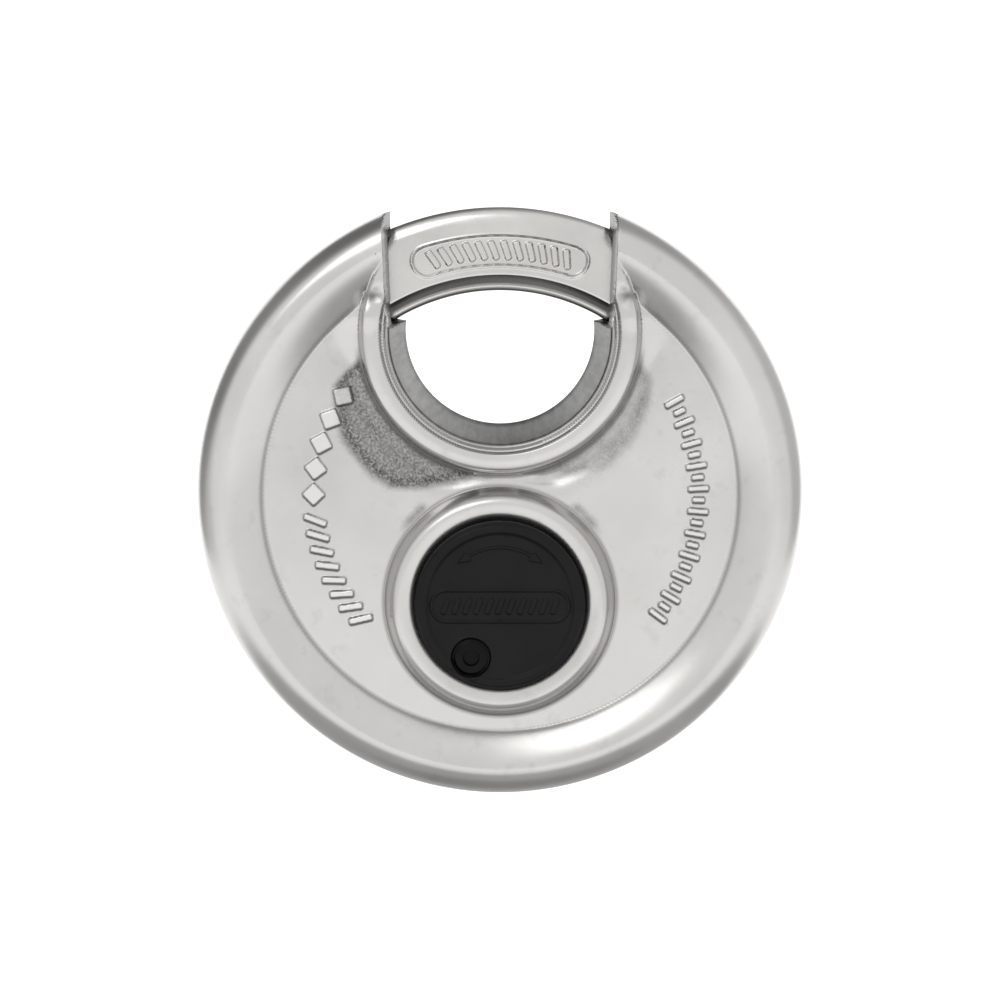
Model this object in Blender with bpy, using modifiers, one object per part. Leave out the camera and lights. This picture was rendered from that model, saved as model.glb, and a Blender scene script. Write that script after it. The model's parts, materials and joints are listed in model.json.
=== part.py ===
"""Round disc padlock: two pressed steel shells around a die-cast core, a turning ring shackle,
a disc-detainer cylinder with a gear drive, and a swivelling cover over the keyway.

The lock stands upright. The origin is the centre of the disc on the plane where the two shells
meet, which is also the axis that the shackle turns about. +X is right, +Z is up, and the front,
with the keyway, faces -Y. Lengths below are in millimetres and MM turns them into metres.
Heights are distances from the middle plane, so a height on the front side is at -Y.
"""

import math

import bmesh
import bpy
from mathutils import Matrix, Vector

MM = 0.001
FRONT = -1.0
BACK = 1.0

# Driving dimensions
DISC_R = 40.0
SHEET = 1.6
GAP = 0.3
SEAM_HALF = 0.15
FACE_H = 10.4
CREST_H = 13.0
CREST_R = 35.8
GROOVE_R = 31.2
GROOVE_DIP = 0.2
SHOULDER_H = 5.0
BASE_DROP = 2.5
BEYOND = 1.0

# Throat: the round opening that the staple passes through
THROAT_Z = 21.5
THROAT_R = 12.6
THROAT_DRAFT = 0.145
COLLAR_R = 18.45
COLLAR_CREST_R = 15.6
COLLAR_SLOPE_R = 17.2
MOUTH_HALF = 14.4
MOUTH_FLARE = 0.55
MOUTH_LOW_Z = 22.6
MOUTH_TOP_Z = 44.0
THROAT_REACH_H = 17.0

# Cylinder, boss and cover
CYL_Z = -13.75
BOSS_R = 15.4
BOSS_H = 13.1
BOSS_FLAT_R = 12.8
BOSS_SLOPE_R = 14.2
BOSS_HOLE_R = 10.7
BOSS_HOLE_H = (15.0, 9.0)
BARREL_R = 11.2
BARREL_BORE_R = 7.9
BARREL_TOP_H = 10.9
BARREL_END_H = -0.6
ROTOR_R = 7.7
ROTOR_BORE_R = 6.4
ROTOR_TOP_H = 9.4
ROTOR_FLOOR_H = -0.2
ROTOR_FLOOR_T = 0.6
TAIL_OVERLAP = 0.2
TAIL_SIDE = 5.0
TAIL_END_H = -7.4
CLIP_GROOVE_R = 2.15
CLIP_GROOVE_H = (-5.7, -6.5)
CLIP_OUT_R = 3.7
CLIP_IN_R = 2.35
CLIP_H = (-5.75, -6.4)
DISC_COUNT = 6
DETAINER_R = 6.1
DETAINER_T = 0.8
DETAINER_PITCH = 1.6
DETAINER_TOP_H = 9.2
DETAINER_FACETS = 34
SPACER_OUT_R = 4.7
SPACER_IN_R = 3.5
SPACER_T = 0.4
SPACER_SIDE_GAP = 0.2
GATE_DEPTH = 1.1
GATE_ANGLE = 90.0
FALSE_GATE_DEPTH = 0.5
FALSE_GATE_FIRST = 138.0
FALSE_GATE_STEP = 24.0
FALSE_GATE_HALF = 6.0
KEY_HOLE_R = 3.1
KEY_HOLE_FLAT = -0.9

# The sidebar lies half way between the barrel's groove and the discs' gates, clear of both
SIDEBAR_W = 1.4
SIDEBAR_H = (8.8, 0.4)
SIDEBAR_TOP_GAP = 0.15
SIDEBAR_CORNER = 0.5
SIDEBAR_SLOT_H = (9.0, 0.1)
BARREL_GROOVE_H = (9.0, -1.0)
BARREL_GROOVE_DEPTH = 0.9
SLOT_SIDE_GAP = 0.15
GATE_SIDE_GAP = 0.2
GROOVE_SIDE_GAP = 0.25

# Keyway plate and drill plate
KEYWAY_R = 3.3
KEYWAY_FLAT = -1.1
KEY_NOSE_R = 4.3
KEY_NOSE_H = 12.9
KEY_FLANGE_R = 7.3
KEY_FLANGE_H = (10.9, 9.7)
DRILL_PLATE_R = 10.4
DRILL_PLATE_HOLE_R = 4.6
DRILL_PLATE_H = (13.0, 11.2)
CHAMFER = 0.3
COVER_R = 11.1
COVER_H = (13.4, 15.0)
PIVOT_R = 7.74
PIVOT_ANGLE = 240.9
RIVET_R = 2.4
RIVET_HOLE_R = 0.9
RIVET_SHANK_R = 1.3
RIVET_END_H = 11.3
RIVET_SEAT_R = 2.6
RIVET_SEAT_H = 12.3
SHANK_GAP = 0.2
WASHER_R = 2.3
WASHER_H = (13.05, 12.6)

# Shackle ring and gear drive
SHACKLE_IN_R = 26.8
SHACKLE_OUT_R = 37.8
SHACKLE_HALF_T = 5.25
SHACKLE_EDGE_R = 1.3
TOE_ANGLE = 50.0
TAIL_ANGLE = 283.0
CHANNEL_HALF_T = 5.6
CHANNEL_IN_R = 26.4
GEAR_MODULE = 1.375
PINION_TEETH = 20
RING_TEETH = 40
FIRST_TOOTH_SPACE = 180.0
PRESSURE_ANGLE = math.radians(20.0)
BACKLASH = 0.12
GEAR_H = (-1.2, -5.0)
GEAR_FLOOR_H = -5.3
TAIL_HOLE_R = 4.0
CUT_HALF_H = 8.0

# Core halves and their fasteners
CORE_TOP_H = 7.9
FLANGE_R = 36.8
CORE_BORE_R = 11.5
GEAR_POCKET_R = 15.7
SCREW_SPOTS = ((-19.5, -5.0), (19.5, -5.0), (-20.5, 6.0), (20.5, 6.0))
SCREW_R = 1.5
SCREW_HEAD_R = 2.8
SCREW_HEAD_T = 1.6
SCREW_END_H = -6.2
SCREW_HOLE_END_H = -6.6
SOCKET_R = 1.3
SOCKET_DEPTH = 0.9
PIN_R = 1.0
BARREL_PIN_H = (6.0, 0.3)
BARREL_PIN_SLOT_H = (6.3, -1.5)
ANTI_DRILL_X = 14.4
ANTI_DRILL_H = (7.6, 1.9)
ANTI_DRILL_HOLE_H = (9.0, 1.6)

# Facets round a full turn
COARSE = 14
MEDIUM = 30
BARREL_FACETS = 40
FINE = 48


# ---------------------------------------------------------------- scene helpers

def clear_scene():
    for old in list(bpy.data.objects):
        bpy.data.objects.remove(old, do_unlink=True)


def new_collection(name):
    group = bpy.data.collections.new(name)
    bpy.context.scene.collection.children.link(group)
    return group


def material(name, color, roughness, metallic):
    mat = bpy.data.materials.new(name)
    mat.use_nodes = True
    shader = mat.node_tree.nodes["Principled BSDF"]
    shader.inputs["Base Color"].default_value = (*color, 1.0)
    shader.inputs["Roughness"].default_value = roughness
    shader.inputs["Metallic"].default_value = metallic
    mat.diffuse_color = (*color, 1.0)
    return mat


def as_cutter(obj, group):
    group.objects.link(obj)
    PARTS.objects.unlink(obj)
    obj.hide_render = True
    obj.display_type = "WIRE"


def link_part(name, mesh, mat=None):
    obj = bpy.data.objects.new(name, mesh)
    if mat is not None:
        mesh.materials.append(mat)
    PARTS.objects.link(obj)
    return obj


# ---------------------------------------------------------------- shape helpers

def mesh_from(bm, name):
    mesh = bpy.data.meshes.new(name)
    bm.to_mesh(mesh)
    bm.free()
    return mesh


def turned(name, profile, side, centre=(0.0, 0.0), steps=FINE, mat=None):
    """Turn a closed (radius, height) outline about an axis along Y.

    The outline runs down its outer side from the highest point and back up inside. A point
    on the axis has radius 0. side is FRONT for heights towards -Y and BACK for +Y.
    """
    bm = bmesh.new()
    verts = [bm.verts.new((r * MM, 0.0, h * MM)) for r, h in profile]
    closed = profile[0][0] > 0.0 or profile[-1][0] > 0.0
    pairs = list(zip(verts, verts[1:]))
    if closed:
        pairs.append((verts[-1], verts[0]))
    for a, b in pairs:
        bm.edges.new((a, b))
    obj = link_part(name, mesh_from(bm, name), mat)
    screw = obj.modifiers.new("Turn", "SCREW")
    screw.axis = "Z"
    screw.steps = steps
    screw.render_steps = steps
    screw.use_merge_vertices = True
    screw.merge_threshold = 0.00001
    turn = Matrix.Rotation(math.radians(90.0 if side == FRONT else -90.0), 4, "X")
    place = Matrix.Translation(Vector((centre[0] * MM, 0.0, centre[1] * MM)))
    obj.matrix_world = place @ turn
    return obj


def rod(name, radius, heights, centre=(0.0, 0.0), steps=MEDIUM, mat=None):
    """A cylinder along Y between two heights on the front side, negative behind."""
    top, bottom = max(heights), min(heights)
    profile = [(0.0, top), (radius, top), (radius, bottom), (0.0, bottom)]
    return turned(name, profile, FRONT, centre, steps, mat)


def tube(name, outer, inner, heights, centre=(0.0, 0.0), steps=MEDIUM, mat=None):
    top, bottom = max(heights), min(heights)
    profile = [(outer, top), (outer, bottom), (inner, bottom), (inner, top)]
    return turned(name, profile, FRONT, centre, steps, mat)


def plate(name, outlines, heights, mat=None):
    """A flat piece: closed (x, z) outlines extruded between two heights on the front side."""
    top, bottom = max(heights), min(heights)
    curve = bpy.data.curves.new(name, "CURVE")
    curve.dimensions = "2D"
    curve.fill_mode = "BOTH"
    curve.extrude = 0.5 * (top - bottom) * MM
    for outline in outlines:
        spline = curve.splines.new("POLY")
        spline.points.add(len(outline) - 1)
        for point, (x, z) in zip(spline.points, outline):
            point.co = (x * MM, z * MM, 0.0, 1.0)
        spline.use_cyclic_u = True
    middle = -0.5 * (top + bottom) * MM
    source = bpy.data.objects.new(name + "_outline", curve)
    PARTS.objects.link(source)
    source.matrix_world = Matrix.Translation((0.0, middle, 0.0)) @ Matrix.Rotation(
        math.radians(90.0), 4, "X")
    bpy.context.view_layer.update()
    evaluated = source.evaluated_get(bpy.context.evaluated_depsgraph_get())
    mesh = bpy.data.meshes.new_from_object(evaluated)
    mesh.name = name
    bm = bmesh.new()
    bm.from_mesh(mesh)
    bmesh.ops.remove_doubles(bm, verts=bm.verts, dist=0.000001)
    bmesh.ops.recalc_face_normals(bm, faces=bm.faces)
    bm.to_mesh(mesh)
    bm.free()
    obj = link_part(name, mesh, mat)
    obj.matrix_world = source.matrix_world
    bpy.data.objects.remove(source, do_unlink=True)
    bpy.data.curves.remove(curve)
    return obj


def boolean(obj, operands, operation):
    """Cut or join all the operands in one step; they go in a collection of their own."""
    mod = obj.modifiers.new(operation.title(), "BOOLEAN")
    mod.operation = operation
    mod.solver = "EXACT"
    mod.operand_type = "COLLECTION"
    mod.collection = bpy.data.collections.new(f"{obj.name}_{operation.lower()}")
    CUTTERS.children.link(mod.collection)
    for operand in operands:
        as_cutter(operand, mod.collection)


def cut(obj, *cutters):
    boolean(obj, cutters, "DIFFERENCE")


def join(obj, *others):
    boolean(obj, others, "UNION")


def set_origin(obj, x, h, z):
    """Move a plain mesh object's origin to a point and leave its shape where it is."""
    bpy.context.view_layer.update()
    point = Vector((x * MM, -h * MM, z * MM))
    shift = obj.matrix_world.inverted() @ Matrix.Translation(point)
    obj.data.transform(shift.inverted())
    obj.matrix_world = obj.matrix_world @ shift


def hang_on_pivot(name, spot, height, pieces):
    """Parent pieces to an empty on their joint's axis, without moving them."""
    pivot = link_part(name, None)
    pivot.location = (spot[0] * MM, -height * MM, spot[1] * MM)
    bpy.context.view_layer.update()
    for piece in pieces:
        piece.parent = pivot
        piece.matrix_parent_inverse = pivot.matrix_world.inverted()


def polar(radius, degrees, centre=(0.0, 0.0)):
    angle = math.radians(degrees)
    return (centre[0] + radius * math.cos(angle), centre[1] + radius * math.sin(angle))


def arc(radius, start, end, count, centre=(0.0, 0.0)):
    return [polar(radius, start + (end - start) * i / count, centre) for i in range(count + 1)]


# ---------------------------------------------------------------- pressed shells

def rim_profile(inset):
    """The pressing's section from its crown centre out to the seam, shrunk by the sheet."""
    edge_r = DISC_R - inset
    crest = CREST_H - inset
    face = FACE_H - inset
    groove_r = GROOVE_R - 0.4 * inset
    low = -BEYOND if inset else SEAM_HALF
    shoulder = SHOULDER_H - 0.5 * inset
    points = [(0.0, face), (groove_r, face - GROOVE_DIP), (groove_r + 1.0, face + 0.9)]
    points.append((CREST_R - 2.2, crest - 0.25))
    bend = 3 if inset else 4
    for i in range(bend + 1):
        t = math.radians(90.0 * (1.0 - i / bend))
        r = CREST_R + (edge_r - CREST_R) * math.cos(t)
        h = shoulder + (crest - shoulder) * math.sin(t)
        points.append((r, h))
    points += [(edge_r, low), (0.0, low)]
    return points


def boss_profile(inset):
    """The raised ring round the cylinder, from its middle outwards."""
    top = BOSS_H - inset
    base = FACE_H - BASE_DROP
    foot = BOSS_R - inset
    return [(0.0, top), (BOSS_FLAT_R - 0.6 * inset, top), (BOSS_SLOPE_R - 0.8 * inset, top - 0.9),
            (foot, FACE_H - inset), (foot, base), (0.0, base)]


def collar_profile(inset):
    """The raised lip round the throat."""
    top = CREST_H - inset
    base = FACE_H - BASE_DROP
    foot = COLLAR_R - inset
    return [(0.0, top), (COLLAR_CREST_R - 0.5 * inset, top), (COLLAR_SLOPE_R - 0.8 * inset, top - 1.0),
            (foot, FACE_H - inset), (foot, base), (0.0, base)]


def throat_radius(height, grow=0.0):
    return THROAT_R + grow + THROAT_DRAFT * height


def throat_cutters(name, side, grow):
    """The tapered round opening and the straight mouth above it, as two cutters."""
    low, high = -BEYOND, THROAT_REACH_H
    profile = [(0.0, high), (throat_radius(high, grow), high),
               (throat_radius(0.0, grow), 0.0), (throat_radius(0.0, grow), low), (0.0, low)]
    cone = turned(name + "_throat", profile, side, (0.0, THROAT_Z), FINE)
    half = MOUTH_HALF + grow
    top_half = half + MOUTH_FLARE
    bottom = MOUTH_LOW_Z - grow
    outline = [(-half, bottom), (half, bottom), (top_half, MOUTH_TOP_Z), (-top_half, MOUTH_TOP_Z)]
    heights = (low, high) if side == FRONT else (-low, -high)
    mouth = plate(name + "_mouth", [outline], heights)
    return cone, mouth


def channel_cutter(name):
    """The ring-shaped space that the shackle turns in, where it passes the throat walls."""
    outer = DISC_R - SHEET - 0.1
    return tube(name, outer, CHANNEL_IN_R, (CHANNEL_HALF_T, -CHANNEL_HALF_T), steps=FINE)


def make_shell(name, side, mat):
    shell = turned(name, rim_profile(0.0), side, steps=FINE, mat=mat)
    cyl = (0.0, CYL_Z)
    throat = (0.0, THROAT_Z)
    join(shell, turned(name + "_boss", boss_profile(0.0), side, cyl, MEDIUM),
         turned(name + "_collar", collar_profile(0.0), side, throat, MEDIUM))
    hollow = turned(name + "_hollow", rim_profile(SHEET), side, steps=FINE)
    join(hollow, turned(name + "_boss_in", boss_profile(SHEET), side, cyl, MEDIUM),
         turned(name + "_collar_in", collar_profile(SHEET), side, throat, MEDIUM))
    cut(hollow, *throat_cutters(name + "_wall", side, SHEET))
    cutters = [hollow, channel_cutter(name + "_channel"), *throat_cutters(name + "_open", side, 0.0)]
    if side == FRONT:
        cutters.append(rod(name + "_hole", BOSS_HOLE_R, BOSS_HOLE_H, cyl, FINE))
    cut(shell, *cutters)
    return shell


# ---------------------------------------------------------------- core halves

def core_profile(side):
    """Web inside the shackle ring and a flange that the shackle slides against."""
    low = SEAM_HALF
    web = CHANNEL_IN_R - 0.2
    return [(0.0, CORE_TOP_H), (FLANGE_R - 1.6, CORE_TOP_H), (FLANGE_R, CORE_TOP_H - 1.2),
            (FLANGE_R, CHANNEL_HALF_T), (web, CHANNEL_HALF_T), (web, low), (0.0, low)]


def make_core(name, side, mat):
    core = turned(name, core_profile(side), side, steps=FINE, mat=mat)
    cutters = list(throat_cutters(name, side, SHEET + GAP))
    shank, head = SCREW_R + GAP, SCREW_HEAD_R + GAP
    if side == FRONT:
        cutters.append(rod(name + "_bore", CORE_BORE_R, (12.0, -1.0), (0.0, CYL_Z), MEDIUM))
        cutters.append(rod(name + "_key", PIN_R + GAP, BARREL_PIN_SLOT_H, barrel_pin_spot(), COARSE))
        for i, x in enumerate((-ANTI_DRILL_X, ANTI_DRILL_X), 1):
            hole = rod(f"{name}_drill_{i}", PIN_R + SHANK_GAP, ANTI_DRILL_HOLE_H, (x, CYL_Z), COARSE)
            cutters.append(hole)
        seat = CORE_TOP_H - SCREW_HEAD_T - GAP
        hole = [(0.0, 9.0), (head, 9.0), (head, seat), (shank, seat), (shank, -1.0), (0.0, -1.0)]
    else:
        cutters.append(rod(name + "_pocket", GEAR_POCKET_R, (1.0, GEAR_FLOOR_H), (0.0, CYL_Z), FINE))
        tail_hole_h = (GEAR_FLOOR_H + GAP, -CORE_TOP_H - BEYOND)
        cutters.append(rod(name + "_tail", TAIL_HOLE_R, tail_hole_h, (0.0, CYL_Z), MEDIUM))
        hole = [(0.0, BEYOND), (shank, BEYOND), (shank, SCREW_HOLE_END_H), (0.0, SCREW_HOLE_END_H)]
    for i, spot in enumerate(SCREW_SPOTS, 1):
        cutters.append(turned(f"{name}_screw_{i}", hole, FRONT, spot, COARSE))
    cut(core, *cutters)
    return core


def make_screw(name, spot, mat):
    """A cap screw with a hexagon socket, from the front half into the rear half."""
    top = CORE_TOP_H - GAP
    head = top - SCREW_HEAD_T
    end = SCREW_END_H
    profile = [(0.0, top), (SCREW_HEAD_R - CHAMFER, top), (SCREW_HEAD_R, top - CHAMFER), (SCREW_HEAD_R, head),
               (SCREW_R, head), (SCREW_R, end + 0.5), (SCREW_R - 0.5, end), (0.0, end)]
    screw = turned(name, profile, FRONT, spot, COARSE, mat)
    socket = [polar(SOCKET_R, 60.0 * i, spot) for i in range(6)]
    cut(screw, plate(name + "_socket", [socket], (top + 0.5, top - SOCKET_DEPTH)))
    return screw


# ---------------------------------------------------------------- gear teeth

def involute(angle):
    return math.tan(angle) - angle


def tooth_half_angle(teeth, radius, widen=0.0):
    """Half the angle of an involute tooth at a radius, in degrees; widen is in millimetres."""
    pitch_r = 0.5 * GEAR_MODULE * teeth
    base_r = pitch_r * math.cos(PRESSURE_ANGLE)
    local = math.acos(min(1.0, base_r / radius))
    half = math.pi / (2.0 * teeth) + involute(PRESSURE_ANGLE) - involute(local)
    return math.degrees(half + widen / radius)


def pinion_outline():
    pitch_r = 0.5 * GEAR_MODULE * PINION_TEETH
    tip = pitch_r + GEAR_MODULE
    root = pitch_r - 1.25 * GEAR_MODULE
    base = pitch_r * math.cos(PRESSURE_ANGLE)
    steps = [base + 0.02, 0.5 * (base + pitch_r) + 0.3, pitch_r + 0.5, tip]
    points = []
    for tooth in range(PINION_TEETH):
        middle = -90.0 + 360.0 * tooth / PINION_TEETH
        flank = [(r, tooth_half_angle(PINION_TEETH, r, -0.5 * BACKLASH)) for r in steps]
        flank = [(root, flank[0][1] + 0.8)] + flank
        points += [polar(r, middle - a, (0.0, CYL_Z)) for r, a in flank]
        points += [polar(r, middle + a, (0.0, CYL_Z)) for r, a in reversed(flank)]
    return points


def ring_space_outline(middle):
    """One tooth space of the internal gear, cut into the shackle's inner edge."""
    pitch_r = 0.5 * GEAR_MODULE * RING_TEETH
    root = pitch_r + 1.25 * GEAR_MODULE
    steps = [SHACKLE_IN_R, pitch_r + 0.2, pitch_r + 0.9, root]
    flank = [(r, tooth_half_angle(RING_TEETH, r, 0.5 * BACKLASH)) for r in steps]
    flank = [(SHACKLE_IN_R - 1.5, flank[0][1] + 0.3)] + flank
    left = [polar(r, middle - a) for r, a in flank]
    right = [polar(r, middle + a) for r, a in reversed(flank)]
    return left + right


# ---------------------------------------------------------------- shackle and drive

def tail_square(grow=0.0):
    """Outline of the rotor's square tail."""
    half = 0.5 * TAIL_SIDE + grow
    return [(-half, CYL_Z - half), (half, CYL_Z - half), (half, CYL_Z + half), (-half, CYL_Z + half)]


def make_shackle(mat):
    """A ring of rounded square section, open at the bottom right, toothed inside its tail."""
    e = SHACKLE_EDGE_R
    t, ro, ri = SHACKLE_HALF_T, SHACKLE_OUT_R, SHACKLE_IN_R
    corners = ((ro - e, -t + e, -90.0, 0.0), (ro - e, t - e, 0.0, 90.0),
               (ri + e, t - e, 90.0, 180.0), (ri + e, -t + e, 180.0, 270.0))
    profile = []
    for r, h, start, end in corners:
        profile += arc(e, start, end, 3, (r, h))
    profile = profile[::-1]
    ring = turned("shackle", profile, FRONT, steps=FINE, mat=mat)
    missing = [polar(18.0, TAIL_ANGLE)]
    missing += arc(60.0, TAIL_ANGLE, TOE_ANGLE + 360.0, 6)
    missing.append(polar(18.0, TOE_ANGLE))
    missing.append(polar(18.0, 0.5 * (TAIL_ANGLE + TOE_ANGLE + 360.0)))
    cut(ring, plate("shackle_gap", [missing], (CUT_HALF_H, -CUT_HALF_H)))
    step = 360.0 / RING_TEETH
    count = int((TAIL_ANGLE - FIRST_TOOTH_SPACE) / step) + 1
    spaces = [ring_space_outline(FIRST_TOOTH_SPACE + step * i) for i in range(count)]
    cut(ring, plate("shackle_teeth", spaces, (CUT_HALF_H, -CUT_HALF_H)))
    return ring


def make_drive_gear(mat):
    gear = plate("drive_gear", [pinion_outline(), tail_square(SHANK_GAP)], GEAR_H, mat)
    set_origin(gear, 0.0, 0.0, CYL_Z)
    return gear


# ---------------------------------------------------------------- cylinder

def barrel_pin_spot():
    return (BARREL_R + 0.1, CYL_Z)


def upright_slot(half, low, high):
    """Outline of a slot above the cylinder's axis, between two distances from it."""
    return [(-half, CYL_Z + low), (half, CYL_Z + low), (half, CYL_Z + high), (-half, CYL_Z + high)]


def make_barrel(mat):
    barrel = tube("cylinder_barrel", BARREL_R, BARREL_BORE_R, (BARREL_TOP_H, BARREL_END_H),
                  (0.0, CYL_Z), BARREL_FACETS, mat)
    groove = upright_slot(0.5 * SIDEBAR_W + GROOVE_SIDE_GAP, 5.0, BARREL_BORE_R + BARREL_GROOVE_DEPTH)
    cut(barrel, plate("barrel_sidebar_groove", [groove], BARREL_GROOVE_H),
        rod("barrel_pin_groove", PIN_R + GAP, BARREL_PIN_SLOT_H, barrel_pin_spot(), COARSE))
    return barrel


def make_rotor(mat):
    """A bowl that holds the discs, slotted for the sidebar, with a square tail for the gear."""
    cyl = (0.0, CYL_Z)
    bottom = ROTOR_FLOOR_H - ROTOR_FLOOR_T
    bowl = rod("rotor", ROTOR_R, (ROTOR_TOP_H, bottom), cyl, MEDIUM, mat)
    cut(bowl, rod("rotor_bore", ROTOR_BORE_R, (ROTOR_TOP_H + BEYOND, ROTOR_FLOOR_H), cyl, MEDIUM))
    slot = upright_slot(0.5 * SIDEBAR_W + SLOT_SIDE_GAP, 3.0, ROTOR_R + BEYOND)
    cut(bowl, plate("rotor_slot", [slot], SIDEBAR_SLOT_H))
    join(bowl, plate("rotor_tail", [tail_square()], (bottom + TAIL_OVERLAP, TAIL_END_H)))
    cut(bowl, tube("rotor_clip_groove", TAIL_SIDE, CLIP_GROOVE_R, CLIP_GROOVE_H, cyl, COARSE))
    return bowl


def half_round(radius, flat, count=10):
    """A half-round keyway outline round the cylinder's axis, its flat at the bottom."""
    start = math.degrees(math.asin(flat / radius))
    return arc(radius, start, 180.0 - start, count, (0.0, CYL_Z))


def make_detainer(index, mat):
    """A detainer disc with its half-round key hole and the gate that the sidebar drops into."""
    top = DETAINER_TOP_H - DETAINER_PITCH * index
    cyl = (0.0, CYL_Z)
    half = 0.5 * SIDEBAR_W + GATE_SIDE_GAP
    gate_r = DETAINER_R - GATE_DEPTH
    spread = math.degrees(math.asin(half / DETAINER_R))
    rim = arc(DETAINER_R, GATE_ANGLE + spread, GATE_ANGLE - spread + 360.0, DETAINER_FACETS, cyl)
    false_gate = FALSE_GATE_FIRST + FALSE_GATE_STEP * index
    outline = []
    for x, z in rim:
        angle = math.degrees(math.atan2(z - CYL_Z, x)) % 360.0
        shallow = abs(angle - false_gate) < FALSE_GATE_HALF
        outline.append(polar(DETAINER_R - (FALSE_GATE_DEPTH if shallow else 0.0), angle, cyl))
    outline += [(half, CYL_Z + gate_r), (-half, CYL_Z + gate_r)]
    disc = plate(f"detainer_disc_{index + 1}", [outline, half_round(KEY_HOLE_R, KEY_HOLE_FLAT)],
                 (top, top - DETAINER_T), mat)
    set_origin(disc, 0.0, top, CYL_Z)
    return disc


def make_spacer(index, mat):
    top = DETAINER_TOP_H - DETAINER_PITCH * index - DETAINER_T - SPACER_SIDE_GAP
    return tube(f"disc_spacer_{index + 1}", SPACER_OUT_R, SPACER_IN_R, (top, top - SPACER_T),
                (0.0, CYL_Z), COARSE, mat)


def make_sidebar(mat):
    inner, outer = ROTOR_BORE_R, ROTOR_R - SIDEBAR_TOP_GAP
    w = 0.5 * SIDEBAR_W
    outline = [(-w, CYL_Z + inner), (w, CYL_Z + inner), (w, CYL_Z + outer - SIDEBAR_CORNER),
               (0.5 * w, CYL_Z + outer), (-0.5 * w, CYL_Z + outer), (-w, CYL_Z + outer - SIDEBAR_CORNER)]
    return plate("sidebar", [outline], SIDEBAR_H, mat)


def make_keyway_plate(mat):
    """The hardened front disc of the rotor, with the keyway and a flange behind the drill plate."""
    flange_top, bottom = KEY_FLANGE_H
    profile = [(0.0, KEY_NOSE_H), (KEY_NOSE_R - CHAMFER, KEY_NOSE_H), (KEY_NOSE_R, KEY_NOSE_H - CHAMFER),
               (KEY_NOSE_R, flange_top), (KEY_FLANGE_R, flange_top), (KEY_FLANGE_R, bottom), (0.0, bottom)]
    front = turned("keyway_plate", profile, FRONT, (0.0, CYL_Z), MEDIUM, mat)
    slot_h = (KEY_NOSE_H + BEYOND, bottom - BEYOND)
    cut(front, plate("keyway_slot", [half_round(KEYWAY_R, KEYWAY_FLAT)], slot_h))
    return front


def pivot_spot():
    return polar(PIVOT_R, PIVOT_ANGLE, (0.0, CYL_Z))


def make_drill_plate(mat):
    """The fixed hardened plate in the boss, with the rotor's hole and the rivet's seat."""
    top, bottom = DRILL_PLATE_H
    edge = DRILL_PLATE_R - 0.4
    profile = [(edge, top), (DRILL_PLATE_R, top - 0.4), (DRILL_PLATE_R, bottom),
               (DRILL_PLATE_HOLE_R, bottom), (DRILL_PLATE_HOLE_R, top)]
    ring = turned("drill_plate", profile, FRONT, (0.0, CYL_Z), FINE, mat)
    shank, above, below = RIVET_SHANK_R + SHANK_GAP, top + BEYOND, bottom - BEYOND
    hole = [(0.0, above), (RIVET_SEAT_R, above), (RIVET_SEAT_R, RIVET_SEAT_H), (shank, RIVET_SEAT_H),
            (shank, below), (0.0, below)]
    cut(ring, turned("drill_plate_hole", hole, FRONT, pivot_spot(), COARSE))
    return ring


# ---------------------------------------------------------------- swivelling cover

def make_cover(mat):
    low, high = COVER_H
    profile = [(0.0, high - 0.35), (COVER_R - 1.9, high - 0.35), (COVER_R - 1.3, high), (COVER_R - 0.6, high),
               (COVER_R, high - 0.6), (COVER_R, low), (0.0, low)]
    cover = turned("dust_cover", profile, FRONT, (0.0, CYL_Z), FINE, mat)
    shank, head, seat = RIVET_SHANK_R + SHANK_GAP, RIVET_R + 0.15, high - 0.9
    above, below = high + BEYOND, low - BEYOND
    hole = [(0.0, above), (head, above), (head, seat), (shank, seat), (shank, below), (0.0, below)]
    cut(cover, turned("cover_rivet_hole", hole, FRONT, pivot_spot(), COARSE))
    return cover


def make_rivet(mat):
    top = COVER_H[1] - 0.1
    head = top - 0.65
    profile = [(RIVET_HOLE_R + CHAMFER, top), (RIVET_R - 0.35, top), (RIVET_R, top - CHAMFER),
               (RIVET_R, head), (RIVET_SHANK_R, head), (RIVET_SHANK_R, RIVET_END_H),
               (RIVET_HOLE_R, RIVET_END_H), (RIVET_HOLE_R, top - CHAMFER)]
    return turned("cover_rivet", profile, FRONT, pivot_spot(), COARSE, mat)


def make_clip(mat):
    """A C-shaped clip in the groove behind the drive gear."""
    cyl = (0.0, CYL_Z)
    points = arc(CLIP_OUT_R, -60.0, 240.0, 22, cyl) + arc(CLIP_IN_R, 240.0, -60.0, 18, cyl)
    return plate("retaining_clip", [points], CLIP_H, mat)


# ---------------------------------------------------------------- assembly

clear_scene()
PARTS = new_collection("disc_padlock")
CUTTERS = new_collection("cutters")


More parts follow.
